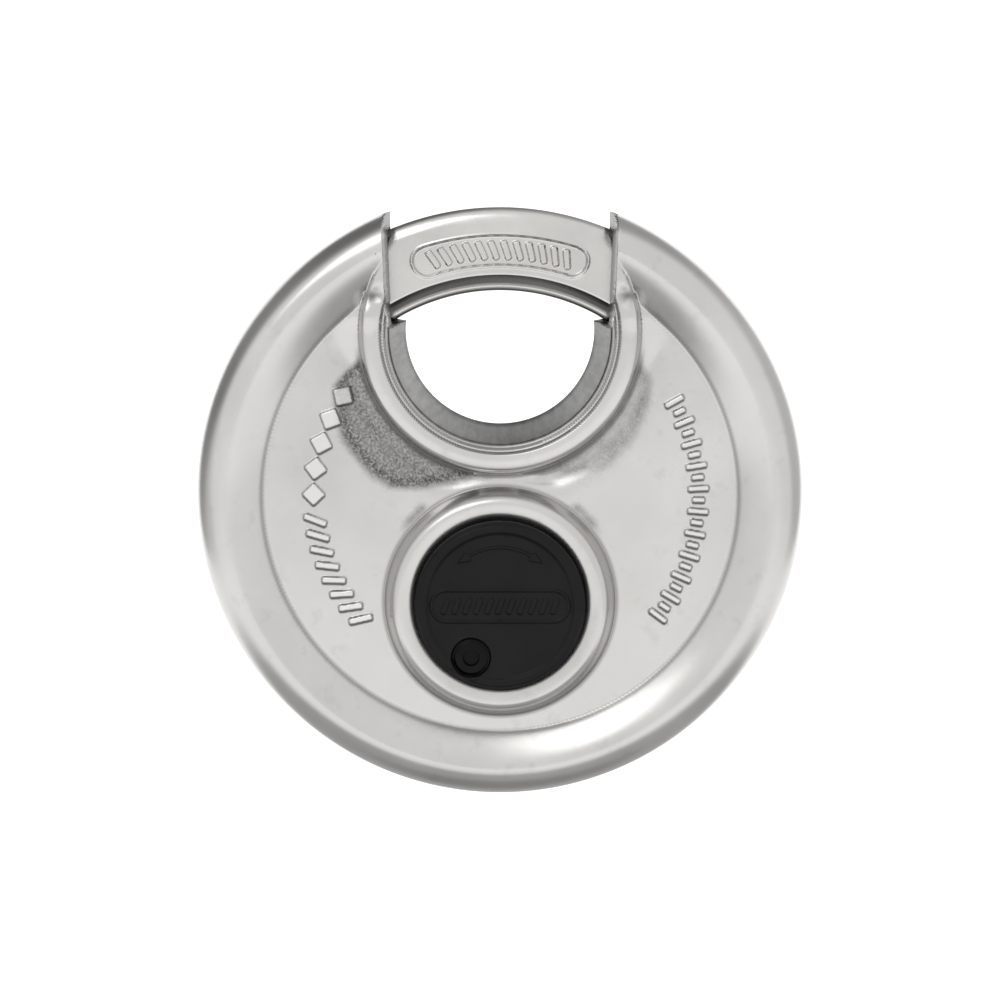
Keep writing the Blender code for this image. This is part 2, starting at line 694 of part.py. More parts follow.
def build():
    stainless = material("pressed_stainless", (0.62, 0.61, 0.59), 0.32, 1.0)
    rear_stainless = material("rear_stainless", (0.60, 0.59, 0.57), 0.35, 1.0)
    hardened = material("hardened_shackle_steel", (0.58, 0.57, 0.55), 0.25, 1.0)
    zinc = material("die_cast_zinc", (0.45, 0.45, 0.46), 0.55, 1.0)
    rear_zinc = material("rear_die_cast_zinc", (0.42, 0.42, 0.43), 0.55, 1.0)
    brass = material("barrel_brass", (0.70, 0.55, 0.28), 0.35, 1.0)
    rotor_brass = material("rotor_brass", (0.74, 0.58, 0.30), 0.30, 1.0)
    gear_steel = material("gear_steel", (0.40, 0.40, 0.41), 0.45, 1.0)
    plate_steel = material("drill_plate_steel", (0.50, 0.50, 0.50), 0.30, 1.0)
    key_steel = material("keyway_steel", (0.55, 0.55, 0.55), 0.28, 1.0)
    disc_brass = material("detainer_brass", (0.76, 0.62, 0.34), 0.32, 1.0)
    spacer_steel = material("spacer_steel", (0.52, 0.52, 0.53), 0.35, 1.0)
    bar_steel = material("sidebar_steel", (0.48, 0.48, 0.49), 0.35, 1.0)
    screw_steel = material("screw_steel", (0.35, 0.35, 0.36), 0.40, 1.0)
    pin_steel = material("pin_steel", (0.50, 0.50, 0.52), 0.30, 1.0)
    black = material("black_plastic", (0.02, 0.02, 0.022), 0.45, 0.0)
    rivet_black = material("black_rivet", (0.02, 0.02, 0.02), 0.35, 0.6)
    washer_steel = material("washer_steel", (0.50, 0.50, 0.50), 0.35, 1.0)
    clip_steel = material("clip_steel", (0.30, 0.30, 0.31), 0.40, 1.0)

    make_shell("front_shell", FRONT, stainless)
    make_shell("back_shell", BACK, rear_stainless)
    make_core("core_front", FRONT, zinc)
    make_core("core_rear", BACK, rear_zinc)
    make_shackle(hardened)

    make_barrel(brass)
    make_rotor(rotor_brass)
    make_keyway_plate(key_steel)
    make_drill_plate(plate_steel)
    for index in range(DISC_COUNT):
        make_detainer(index, disc_brass)
    for index in range(DISC_COUNT - 1):
        make_spacer(index, spacer_steel)
    make_sidebar(bar_steel)
    make_drive_gear(gear_steel)
    make_clip(clip_steel)

    hang_on_pivot("cover_pivot", pivot_spot(), COVER_H[0], [make_cover(black), make_rivet(rivet_black)])
    tube("cover_washer", WASHER_R, RIVET_SHANK_R + SHANK_GAP, WASHER_H, pivot_spot(), COARSE, washer_steel)

    rod("barrel_pin", PIN_R, BARREL_PIN_H, barrel_pin_spot(), COARSE, pin_steel)
    for i, x in enumerate((-ANTI_DRILL_X, ANTI_DRILL_X), 1):
        rod(f"anti_drill_pin_{i}", PIN_R, ANTI_DRILL_H, (x, CYL_Z), COARSE, pin_steel)
    for i, spot in enumerate(SCREW_SPOTS, 1):
        make_screw(f"core_screw_{i}", spot, screw_steel)


build()
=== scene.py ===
"""Looks of the disc padlock: pressed shells, ring shackle, cover and rivet as fine meshes around the
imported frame, with procedural metals and plastic, a pale floor and soft studio light.

Profiles are worked out in millimetres and turned into metres when a mesh is made. A height is a
distance from the plane where the two shells meet, forwards on the front shell and backwards on the
rear one.
"""

import json
import math

import bmesh
import bpy
import numpy as np
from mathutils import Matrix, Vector, geometry


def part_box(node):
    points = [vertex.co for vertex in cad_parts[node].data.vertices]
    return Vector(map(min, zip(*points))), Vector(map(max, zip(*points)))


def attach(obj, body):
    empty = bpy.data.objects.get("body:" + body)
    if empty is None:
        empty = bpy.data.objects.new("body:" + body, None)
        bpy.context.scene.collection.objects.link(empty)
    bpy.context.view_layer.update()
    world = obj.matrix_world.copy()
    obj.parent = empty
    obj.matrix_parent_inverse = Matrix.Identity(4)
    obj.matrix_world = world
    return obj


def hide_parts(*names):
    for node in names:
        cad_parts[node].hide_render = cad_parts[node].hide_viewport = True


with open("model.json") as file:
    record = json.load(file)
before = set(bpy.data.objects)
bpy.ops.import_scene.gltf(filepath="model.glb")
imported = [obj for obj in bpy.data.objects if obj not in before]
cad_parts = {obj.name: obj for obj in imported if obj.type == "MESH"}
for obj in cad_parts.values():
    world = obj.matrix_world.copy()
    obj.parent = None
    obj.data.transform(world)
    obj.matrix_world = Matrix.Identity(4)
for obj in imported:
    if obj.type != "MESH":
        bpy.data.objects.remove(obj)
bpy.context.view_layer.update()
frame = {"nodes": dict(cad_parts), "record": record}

MM = 0.001
FRONT, BACK = -1.0, 1.0


# ---------------------------------------------------------------- sizes, from the frame

def corners_mm(node):
    low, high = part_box(node)
    return [c / MM for c in low], [c / MM for c in high]


SHELL_LOW, SHELL_HIGH = corners_mm("front_shell")
COVER_LOW, COVER_HIGH = corners_mm("dust_cover")
_, RING_HIGH = corners_mm("shackle")
RIVET_LOW, RIVET_HIGH = corners_mm("cover_rivet")

DISC_R = -SHELL_LOW[2]
BOSS_H = -SHELL_LOW[1]
SEAM_H = -SHELL_HIGH[1]
CYL_Z = 0.5 * (COVER_LOW[2] + COVER_HIGH[2])
COVER_R = 0.5 * (COVER_HIGH[0] - COVER_LOW[0])
COVER_TOP_H = -COVER_LOW[1]
COVER_LOW_H = -COVER_HIGH[1]
PIVOT = (0.5 * (RIVET_LOW[0] + RIVET_HIGH[0]), 0.5 * (RIVET_LOW[2] + RIVET_HIGH[2]))
RIVET_R = 0.5 * (RIVET_HIGH[0] - RIVET_LOW[0])
RING_OUT_R = RING_HIGH[2]
RING_HALF_T = RING_HIGH[1]

# pressed sheet: flat face, groove, and the rim band that rolls over to the seam
SHEET = 1.3
FACE_H = BOSS_H - 2.7
FACE_CROWN = 0.12
GROOVE_R, GROOVE_DEPTH, GROOVE_WIDTH = 31.2, 0.42, 0.33
GROOVE_FADE = (18.2, 20.2)
CREST_H = BOSS_H - 0.1
CREST_R = DISC_R - 4.3
BAND_WIDTH, BAND_FALL, BAND_POWER = 4.45, 2.35, 1.5
SHOULDER_H = 5.5
ROLL_POWER, ROLL_STEPS = 0.86, 160
BAND_BLEND, COLLAR_BLEND, BOSS_BLEND, WALL_BLEND, INNER_WALL_BLEND = 0.22, 0.25, 0.2, 0.35, 0.1

# throat with its collar, and the trough pressed round the collar
THROAT_Z, THROAT_R, THROAT_DRAFT = 21.5, 12.6, 0.145
COLLAR_H, COLLAR_CROWN_R, COLLAR_CROWN_WIDTH, COLLAR_CROWN_FALL = 12.85, 16.4, 1.5, 0.3
COLLAR_SIDE_R, COLLAR_SIDE_WIDTH, COLLAR_SIDE_FALL = 17.6, 0.9, 2.2
COLLAR_FOLDS = ((15.5, 0.34, 0.13), (14.95, 0.3, 0.11))
TROUGH_R, TROUGH_DEPTH, TROUGH_WIDTH = 20.0, 0.75, 1.5
TROUGH_STARTS, TROUGH_ENDS_Z, TROUGH_OFF_BOSS = (-4.0, 2.0), (24.0, 17.0), (15.2, 17.5)

# mouth above the throat, and the passage in which the shackle turns
MOUTH_HALF, MOUTH_FLARE, MOUTH_DRAFT, MOUTH_LOW_Z = 14.05, 0.04, 0.055, 22.7
PASSAGE_H = RING_HALF_T + 0.35
PASSAGE_OUT_R = 38.3

# boss round the cylinder; beside the mouth, humps and hollows as (x, z, height, width)
BOSS_FLAT_R, BOSS_SIDE_WIDTH, BOSS_FALL, BOSS_POWER = 13.1, 2.15, 3.0, 2.2
BOSS_DISH, BOSS_DISH_WIDTH = 0.3, 1.8
BLEND_RISE = 0.1
HOLE_R = COVER_R - 0.4
DENTS = ((17.7, 23.9, 0.45, 1.5), (16.1, 26.6, -0.55, 1.1))

# mesh spacing: plain face, marks, dents, and the inner skin over its flattened width
FACE_SPACING, MARK_SPACING, DENT_SPACING = 0.62, 0.19, 0.3
INNER_SPACING, INNER_HALF = 2.4, 46.0

# raised marks on the face: rows on arcs, by radius, first angle and step
MARK_H, MARK_SOFT = 0.45, 0.28
# steps for the marks' painted shade, darkest on their lower side
MARK_SHADE_STEP, MARK_SHADE_SIDE = 0.16, 0.04
TICK_R, TICK_START, TICK_STEP, TICK_COUNT = 26.0, 29.0, 3.3, 21
TICK_WIDTH, TICK_LONG, TICK_SHORT = 0.62, 2.6, 1.5
LOZENGE_R, LOZENGE_START, LOZENGE_STEP, LOZENGE_COUNT, LOZENGE_SIDE = 24.4, 147.0, 8.0, 5, 2.1
SLANT_START, SLANT_STEP, SLANT_COUNT, SLANT_TURN = 187.0, 4.9, 8, 62.0
SLANT_WIDTH, SLANT_LENGTH = 0.75, 3.0

# valleys, rougher and darkened with painted shade: how far they reach from the throat's centre, by angle from
# straight down
VALLEY_ANGLES = [0.0, 8.0, 22.0, 35.0, 43.0, 55.0, 72.5, 78.0, 82.0]
VALLEY_LIMITS = [18.6, 19.0, 21.6, 24.9, 25.2, 25.1, 22.9, 19.6, 18.0]
VALLEY_IN_R = 18.5
VALLEY_RIGHT_REACH, VALLEY_RIGHT_LEVEL = 0.6, 0.62
VALLEY_EDGE = (18.45, 18.7)
VALLEY_FADE_OUT, VALLEY_FADE_IN = 1.1, 1.3
# the collar's foot, where a dark line of painted shade runs
VALLEY_LINE_R, VALLEY_LINE_WIDTH = 18.72, 0.21
TAIL_R, TAIL_WIDTH, TAIL_STARTS, TAIL_ENDS, TAIL_LEVEL = 15.9, 0.8, (34.0, 40.0), (62.0, 46.0), 0.8
# the valleys' darker fringe of painted shade
FRINGE_IN, FRINGE_WIDTH, FRINGE_LEVEL = 0.9, 0.9, 0.8
BOSS_FOOT_R, BOSS_FOOT_EDGE = 15.35, (15.3, 15.7)
# painted shade in the hollow dent beside the mouth: place, stretch, width and level
DENT_SHADE_PLACE, DENT_SHADE_STRETCH, DENT_SHADE_WIDTH, DENT_SHADE_LEVEL = (16.6, 26.4), (1.3, 0.9), 0.8, 0.75
# where the throat's wall, darkened with painted shade, begins
WALL_EDGE = (14.8, 14.5)

# ring shackle and the plaque sunk in its front
RING_IN_R = 26.8
TOE_ANGLE, TAIL_ANGLE = 50.0, 283.0
RING_OUT_ROUND_R, RING_OUT_ROUND_T = 2.6, 1.7
RING_IN_ROUND, RING_IN_DROP = 0.8, 2.1
RING_SLOPE = ((2.15, 0.05), (2.05, 0.22), (1.5, 0.75), (1.15, 1.0))
FACE_STEP = 0.11
RING_SHARP_ANGLE = 35.0
PLAQUE_R, PLAQUE_LENGTH, PLAQUE_WIDTH, PLAQUE_CORNER = 32.15, 23.2, 3.9, 1.9
PLAQUE_DEPTH, PLAQUE_LIP, PLAQUE_BAR_H = 0.42, 0.1, 0.3
PLAQUE_FROM, PLAQUE_TO, PLAQUE_STEP = 68.0, 112.0, 0.2
PLAQUE_BAR_COUNT, PLAQUE_BAR_PITCH, PLAQUE_BAR_WIDTH, PLAQUE_BAR_LENGTH = 12, 1.62, 0.72, 2.5
BAR_LEAN = -0.35

# cover and rivet
DISC_FACETS = 600
DISC_CENTRE_R = 0.3
DISC_SHARP_ANGLE = 40.0
COVER_BEVEL, COVER_BEVEL_WIDTH = 0.55, 0.75
COVER_DISH, COVER_DISH_OUT, COVER_DISH_IN = 0.38, 1.25, 1.85
LINE_H = 0.2
ARROW_R, ARROW_HALF, ARROW_LINE = 7.75, 33.0, 0.16
HEAD_LENGTH, HEAD_SLOPE = 1.5, 0.42
FRAME_LENGTH, FRAME_WIDTH, FRAME_CORNER, FRAME_Z, FRAME_LINE = 17.9, 4.1, 2.0, 0.05, 0.14
COVER_BAR_COUNT, COVER_BAR_PITCH, COVER_BAR_WIDTH, COVER_BAR_LENGTH = 11, 1.42, 0.55, 2.1
COVER_BAR_H = 0.22
SEAT_DEPTH = 0.5
COVER_RIM = [(0.0, 0.25), (0.08, 0.06), (0.2, 0.0)]
RIVET_RIM = [(0.0, 0.9), (0.0, 0.1), (0.1, 0.0)]
RIVET_SUNK, RIVET_BASE_DROP = 0.12, 0.75
RIVET_HOLE_R, RIVET_HOLE_DEPTH = 0.9, 2.2
COVER_STEP, RIVET_STEP = 0.085, 0.06

# stage, in metres
FLOOR_HALF_WIDTH = 0.5
FLOOR_LOW, FLOOR_FRONT_Y, FLOOR_BEND_Y, FLOOR_BEND_R = -0.16, -1.2, 0.45, 0.35
FLOOR_TOP = 0.34
FLOOR_BEND_STEPS = 12
KEY_PLACE, KEY_SIZE, KEY_POWER = (-0.25, -0.45, 0.5), 0.4, 0.6
CAMERA_ELEVATION, CAMERA_DISTANCE, CAMERA_LENS = 6.5, 0.356, 95.0
CAMERA_AIM = (0.0, 0.0, -0.0015)
SENSOR_WIDTH = 36.0

# dark flags in the light tent: direction, where they start and are full, and the light left over
FLAGS = [((-0.6, 0.6, 0.55), 0.5, 0.92, 0.35), ((-0.95, 0.35, -0.25), 0.6, 0.95, 0.75),
         ((0.8, 0.6, 0.1), 0.6, 0.95, 0.68), ((0.0, 0.55, 0.85), 0.6, 0.95, 0.5)]


# ---------------------------------------------------------------- small maths

def smooth_max(a, b, k):
    return 0.5 * (a + b + np.sqrt((a - b) ** 2 + k * k))


def smooth_min(a, b, k):
    return 0.5 * (a + b - np.sqrt((a - b) ** 2 + k * k))


def smooth_step(low, high, x):
    """0 at low and 1 at high, which may be the smaller of the two."""
    t = np.clip((x - low) / (high - low), 0.0, 1.0)
    return t * t * (3.0 - 2.0 * t)


def bell(x, centre, width):
    return np.exp(-((x - centre) / width) ** 2)


def box_distance(u, v, w, h, corner):
    """Distance outside a rounded box, negative inside it."""
    qx, qy = np.abs(u) - 0.5 * w + corner, np.abs(v) - 0.5 * h + corner
    outside = np.hypot(np.maximum(qx, 0.0), np.maximum(qy, 0.0))
    return outside + np.minimum(np.maximum(qx, qy), 0.0) - corner


# ---------------------------------------------------------------- raised marks

def mark_bars():
    """Plain ticks, lozenges and slanted bars pressed on the face, as (x, z, turn, width, height)."""
    bars = []

    def place(angle, radius, turn, width, height):
        a = math.radians(angle)
        bars.append((radius * math.cos(a), radius * math.sin(a), math.radians(turn), width, height))

    for i in range(TICK_COUNT):
        angle = TICK_START - TICK_STEP * i
        place(angle, TICK_R, angle - 90.0, TICK_WIDTH, TICK_LONG if i % 2 == 0 else TICK_SHORT)
    for i in range(LOZENGE_COUNT):
        angle = LOZENGE_START + LOZENGE_STEP * i
        place(angle, LOZENGE_R, angle + 45.0, LOZENGE_SIDE, LOZENGE_SIDE)
    for i in range(SLANT_COUNT):
        angle = SLANT_START + SLANT_STEP * i
        place(angle, LOZENGE_R, angle + SLANT_TURN, SLANT_WIDTH, SLANT_LENGTH)
    return bars


def bar_row(count, pitch, across, width, length):
    """Equal slanted bars in a straight row about 0, in the form of mark_bars."""
    middle = 0.5 * (count - 1)
    return [((i - middle) * pitch, across, BAR_LEAN, width, length) for i in range(count)]


def relief(x, z, bars, height, soft):
    """Height of raised bars over a flat face, 0 between them."""
    raised = np.zeros_like(x)
    for cx, cz, turn, w, h in bars:
        reach = 0.5 * math.hypot(w, h) + 2.0 * soft
        near = (np.abs(x - cx) < reach) & (np.abs(z - cz) < reach)
        dx, dz = x[near] - cx, z[near] - cz
        u = dx * math.cos(turn) + dz * math.sin(turn)
        v = -dx * math.sin(turn) + dz * math.cos(turn)
        away = box_distance(u, v, w, h, min(0.22, 0.3 * w))
        raised[near] = np.maximum(raised[near], height * smooth_step(soft, -0.4 * soft, away))
    return raised


MARKS = mark_bars()
PLAQUE_BARS = bar_row(PLAQUE_BAR_COUNT, PLAQUE_BAR_PITCH, 0.0, PLAQUE_BAR_WIDTH, PLAQUE_BAR_LENGTH)
COVER_BARS = bar_row(COVER_BAR_COUNT, COVER_BAR_PITCH, FRAME_Z, COVER_BAR_WIDTH, COVER_BAR_LENGTH)


# ---------------------------------------------------------------- pressed sheet

class Pressing:
    """The outer skin of one shell as a height over the disc, or its inner skin when inset.

    The skin is meshed flattened: rho is the distance from the centre measured along the skin, so
    that the steep rim gets as many points as the face.
    """

    def __init__(self, side, inset):
        self.side = side
        self.inset = inset
        self.edge_r = DISC_R - inset
        crest_h = CREST_H - inset
        t = np.linspace(0.0, 0.5 * math.pi, ROLL_STEPS)
        r = CREST_R + (self.edge_r - CREST_R) * np.sin(t) ** ROLL_POWER
        h = SHOULDER_H + (crest_h - SHOULDER_H) * np.cos(t) ** ROLL_POWER
        r = np.append(r, self.edge_r)
        h = np.append(h, SEAM_H)
        length = np.append(0.0, np.cumsum(np.hypot(np.diff(r), np.diff(h))))
        self.rho, self.r, self.h = CREST_R + length, r, h
        self.rho_end = self.rho[-1]

    def to_plane(self, rho):
        """Radius in the disc for a distance measured along the skin."""
        return np.where(rho <= CREST_R, rho, np.interp(rho, self.rho, self.r))

    def from_plane(self, r):
        return np.where(r <= CREST_R, r, np.interp(r, self.r, self.rho))

    def flatten(self, x, z):
        r = np.hypot(x, z)
        return np.stack([x, z], axis=1) * (self.from_plane(r) / r)[:, None]

    def band(self, r):
        inside = np.maximum(CREST_R - r, 0.0)
        return CREST_H - BAND_FALL * (inside / BAND_WIDTH) ** BAND_POWER

    def collar(self, from_throat):
        crown = ((from_throat - COLLAR_CROWN_R) / COLLAR_CROWN_WIDTH) ** 2
        flank = np.maximum((from_throat - COLLAR_SIDE_R) / COLLAR_SIDE_WIDTH, 0.0) ** 2
        folds = sum(depth * bell(from_throat, r, width) for r, depth, width in COLLAR_FOLDS)
        return COLLAR_H - COLLAR_CROWN_FALL * crown - COLLAR_SIDE_FALL * flank - folds

    def boss(self, from_boss):
        flank = np.maximum((from_boss - BOSS_FLAT_R) / BOSS_SIDE_WIDTH, 0.0) ** BOSS_POWER
        dish = 0.0
        if self.side == FRONT:
            dish = BOSS_DISH * np.maximum((BOSS_FLAT_R - from_boss) / BOSS_DISH_WIDTH, 0.0) ** 2
        return BOSS_H - BOSS_FALL * flank - dish

    def skin(self, x, z, rho):
        """Height of the skin, before the throat is cut."""
        from_boss = np.hypot(x, z - CYL_Z)
        from_throat = np.hypot(x, z - THROAT_Z)
        r = np.hypot(x, z)
        h = FACE_H + FACE_CROWN * (1.0 - (r / GROOVE_R) ** 2)
        h = h - GROOVE_DEPTH * bell(r, GROOVE_R, GROOVE_WIDTH) * smooth_step(*GROOVE_FADE, from_throat)
        beside = smooth_step(*TROUGH_STARTS, z - CYL_Z) * smooth_step(*TROUGH_ENDS_Z, z)
        trough = TROUGH_DEPTH * bell(from_throat, TROUGH_R, TROUGH_WIDTH) * beside
        h = h - trough * smooth_step(*TROUGH_OFF_BOSS, from_boss)
        h = smooth_max(h, self.band(r), BAND_BLEND)
        h = smooth_max(h, self.collar(from_throat), COLLAR_BLEND)
        h = smooth_max(h, self.boss(from_boss), BOSS_BLEND) - BLEND_RISE
        if self.side == FRONT:
            for sx in (-1.0, 1.0):
                for dent_x, dent_z, height, width in DENTS:
                    h = h + height * bell(np.hypot(x - sx * dent_x, z - dent_z), 0.0, width)
            if not self.inset:
                h = h + relief(x, z, MARKS, MARK_H, MARK_SOFT)
        h = h - self.inset
        rolled = np.interp(rho, self.rho, self.h)
        return np.where(rho <= CREST_R, h, np.minimum(h, rolled) if self.inset else rolled)

    def mouth_half(self, z):
        """Half the mouth's width at the seam; it widens a little upwards."""
        return MOUTH_HALF + self.inset + MOUTH_FLARE * np.maximum(z - MOUTH_LOW_Z, 0.0)

    def wall(self, x, z):
        """Height of the drafted walls round the throat and the mouth above it."""
        from_throat = np.hypot(x, z - THROAT_Z)
        throat = (from_throat - THROAT_R - self.inset) / THROAT_DRAFT
        beside = np.maximum(np.abs(x) - self.mouth_half(z), 0.0)
        below = np.maximum(MOUTH_LOW_Z - self.inset - z, 0.0)
        return np.minimum(throat, np.hypot(beside, below) / MOUTH_DRAFT)

    def surface(self, p):
        """Points in space, in millimetres, for points p of the flattened skin."""
        rho = np.hypot(p[:, 0], p[:, 1])
        r = self.to_plane(rho)
        scale = np.where(rho > 0.0, r / np.maximum(rho, 1e-9), 1.0)
        x, z = p[:, 0] * scale, p[:, 1] * scale
        blend = INNER_WALL_BLEND if self.inset else WALL_BLEND
        h = smooth_min(self.skin(x, z, rho), self.wall(x, z), blend)
        h = np.maximum(h, SEAM_H)
        return np.stack([x, self.side * h, z], axis=1)

    def normals(self, p):
        """Outward normals of the skin, from its slope over a small step e."""
        e = 0.015
        across = self.surface(p + [e, 0.0]) - self.surface(p - [e, 0.0])
        up = self.surface(p + [0.0, e]) - self.surface(p - [0.0, e])
        n = np.cross(across, up)
        if self.side == BACK:
            n = -n
        return n / np.maximum(np.linalg.norm(n, axis=1, keepdims=True), 1e-12)

    def mouth_side(self, throat_r, start, seam_wall, top):
        """The right side of the mouth from the rim down to the throat, and its heights.

        It follows the seam, then the passage's lip, and comes back to the seam along a ledge.
        """
        seam_steps, passage_steps, ledge_steps = 8, 60, 18
        drop = math.sqrt((PASSAGE_OUT_R - self.inset) ** 2 - seam_wall ** 2)
        low = MOUTH_LOW_Z - self.inset + 0.05
        pass_z = np.linspace(drop - 0.15, low, passage_steps)
        pass_x = self.mouth_half(pass_z) + MOUTH_DRAFT * PASSAGE_H
        ledge_x = np.linspace(pass_x[-1], throat_r * math.cos(start), ledge_steps)[1:-1]
        ledge_z = np.linspace(low, MOUTH_LOW_Z, ledge_steps)[1:-1]
        x = np.concatenate([np.full(seam_steps, seam_wall), pass_x, ledge_x])
        z = np.concatenate([np.linspace(top - 0.02, drop, seam_steps), pass_z, ledge_z])
        heights = np.concatenate([np.full(seam_steps, SEAM_H), np.full(passage_steps, PASSAGE_H),
                                  np.linspace(PASSAGE_H, SEAM_H, ledge_steps)[1:-1]])
        return self.flatten(x, z), heights

    def outline(self):
        """The skin's edge and its heights, from the right of the mouth, down round the throat, up the
        left side and round the rim back to the right."""
        throat_steps, corner_steps, rim_steps = 220, 12, 660
        seam_wall = self.mouth_half(self.edge_r - 2.5) + MOUTH_DRAFT * SEAM_H
        throat_r = THROAT_R + self.inset + THROAT_DRAFT * SEAM_H
        start = math.asin((MOUTH_LOW_Z - THROAT_Z) / throat_r)
        top = math.sqrt(self.edge_r ** 2 - seam_wall ** 2)
        right, side_h = self.mouth_side(throat_r, start, seam_wall, top)
        angles = np.linspace(start, -math.pi - start, throat_steps)
        throat = self.flatten(throat_r * np.cos(angles), THROAT_Z + throat_r * np.sin(angles))
        left = right[::-1] * [-1.0, 1.0]
        corner = math.atan2(top, seam_wall)
        bend = self.from_plane(np.array([self.edge_r - 0.02]))[0] + 0.1
        rho_steps = np.linspace(bend, self.rho_end, corner_steps)
        ray_l = np.stack([-np.cos(corner) * rho_steps, np.sin(corner) * rho_steps], axis=1)
        sweep = np.linspace(math.pi - corner, 2.0 * math.pi + corner, rim_steps)[1:-1]
        rim = np.stack([np.cos(sweep), np.sin(sweep)], axis=1) * self.rho_end
        ray_r = ray_l[::-1] * [-1.0, 1.0]
        points = np.concatenate([right, throat, left, ray_l, rim, ray_r])
        heights = np.full(len(points), SEAM_H)
        left_from = len(side_h) + len(throat)
        heights[:len(side_h)] = side_h
        heights[left_from:left_from + len(side_h)] = side_h[::-1]
        return points, heights

    def hole(self):
        a = np.linspace(0.0, 2.0 * math.pi, 240, endpoint=False)
        return np.stack([HOLE_R * np.cos(a), CYL_Z + HOLE_R * np.sin(a)], axis=1)


# ---------------------------------------------------------------- points for the pressed sheet

def rings(centre_z, radii, spacing):
    points = []
    for i, r in enumerate(radii):
        count = int(2.0 * math.pi * r / spacing)
        a = (np.arange(count) + 0.5 * (i % 2)) * 2.0 * math.pi / count
        points.append(np.stack([r * np.cos(a), centre_z + r * np.sin(a)], axis=1))
    return np.concatenate(points)


def radii_of(*spans):
    """Radii for spans of (from, to, step)."""
    return np.concatenate([np.arange(*span) for span in spans])


def hex_grid(half, spacing):
    """Points of equal triangles over a square, half its width to each side."""
    rows = np.arange(-half, half, spacing * 0.866)
    cols = np.arange(-half, half, spacing)
    x, z = np.meshgrid(cols, rows)
    x = x + 0.5 * spacing * (np.arange(len(rows)) % 2)[:, None]
    return np.stack([x.ravel(), z.ravel()], axis=1)


def in_both_boxes(points, centre, half):
    """Which points lie in a box or in its mirror image across the middle."""
    return (np.abs(np.abs(points[:, 0]) - centre[0]) < half[0]) & (np.abs(points[:, 1] - centre[1]) < half[1])


def mouth_points(skin):
    """Points along the mouth's walls, in lines that follow them, and close together at the ledges."""
    out, up = np.meshgrid(np.arange(0.06, 1.75, 0.09), np.arange(22.9, 39.4, 0.3))
    x, z = (out + skin.mouth_half(up)).ravel(), up.ravel()
    keep = np.hypot(x, z) < skin.edge_r - 0.15
    walls = skin.flatten(x[keep], z[keep])
    walls = np.concatenate([walls, walls * [-1.0, 1.0]])
    walls = walls[np.abs(walls[:, 1] - 22.0) > 1.3]
    x, z = np.meshgrid(np.arange(12.5, 15.0, 0.12), np.arange(21.0, 23.3, 0.12))
    ledge = skin.flatten(x.ravel(), z.ravel())
    return walls, ledge


def fine_points(skin):
    """Points of the flattened skin, close together where the pressing bends."""
    face_half, face_r = 31.0, 30.3
    boss_step, ring_spacing, rim_spacing = 0.22, 0.4, 0.55
    rolled = (35.75, skin.rho_end - 0.4, 0.55)
    rim = rings(0.0, radii_of((30.5, 32.4, 0.16), (32.5, 35.7, 0.45), rolled), rim_spacing)
    throat_radii = radii_of((13.0, 14.2, 0.3), (14.3, 16.1, 0.13), (16.2, 19.6, 0.3))
    throat = rings(THROAT_Z, throat_radii, ring_spacing)
    throat = throat[np.hypot(*throat.T) < CREST_R]
    boss_from = HOLE_R + boss_step if skin.side == FRONT else 12.4
    boss = rings(CYL_Z, np.arange(boss_from, 16.2, boss_step), ring_spacing)
    walls, ledge = mouth_points(skin)
    base = hex_grid(face_half, FACE_SPACING)
    r = np.hypot(*base.T)
    from_boss = np.hypot(base[:, 0], base[:, 1] - CYL_Z)
    from_throat = np.hypot(base[:, 0], base[:, 1] - THROAT_Z)
    dented = in_both_boxes(base, (17.0, 25.2), (2.6, 3.2))
    base = base[(r < 30.2) & (from_boss > 16.3) & (from_throat > 19.7) & ~dented]
    sets = [rim, throat, boss, walls, base, ledge, ledge * [-1.0, 1.0]]
    if skin.side == FRONT:
        detail = hex_grid(face_half, MARK_SPACING)
        near = np.zeros(len(detail), bool)
        for cx, cz, _, w, h in MARKS:
            near |= np.hypot(detail[:, 0] - cx, detail[:, 1] - cz) < 0.5 * math.hypot(w, h) + 0.35
        sets.append(detail[near & (np.hypot(*detail.T) < face_r)])
    dents = hex_grid(face_half, DENT_SPACING)
    near = in_both_boxes(dents, (17.3, 25.0), (2.6, 3.4))
    sets.append(dents[near & (np.hypot(*dents.T) < face_half)])
    return np.concatenate(sets)


def inside_outline(points, loop):
    """Which points lie inside a closed loop."""
    x, z = points[:, 0], points[:, 1]
    hit = np.zeros(len(points), bool)
    for (x0, z0), (x1, z1) in zip(loop, np.roll(loop, -1, axis=0)):
        if z1 != z0:
            cross = (z0 > z) != (z1 > z)
            hit ^= cross & (x < (x1 - x0) * (z - z0) / (z1 - z0) + x0)
    return hit


def clear_of(points, loop, gap):
    """Which points are at least gap from every point of a closely spaced loop."""
    keep = np.ones(len(points), bool)
    cells = {}
    for q in loop:
        cells.setdefault((math.floor(q[0]), math.floor(q[1])), []).append(q)
    near = {}
    for (i, j), qs in cells.items():
        for di in (-1, 0, 1):
            for dj in (-1, 0, 1):
                near.setdefault((i + di, j + dj), []).extend(qs)
    near = {k: np.array(v) for k, v in near.items()}
    for n, (i, j) in enumerate(map(tuple, np.floor(points).astype(int))):
        close = near.get((i, j))
        if close is not None and np.min(np.hypot(*(close - points[n]).T)) < gap:
            keep[n] = False
    return keep


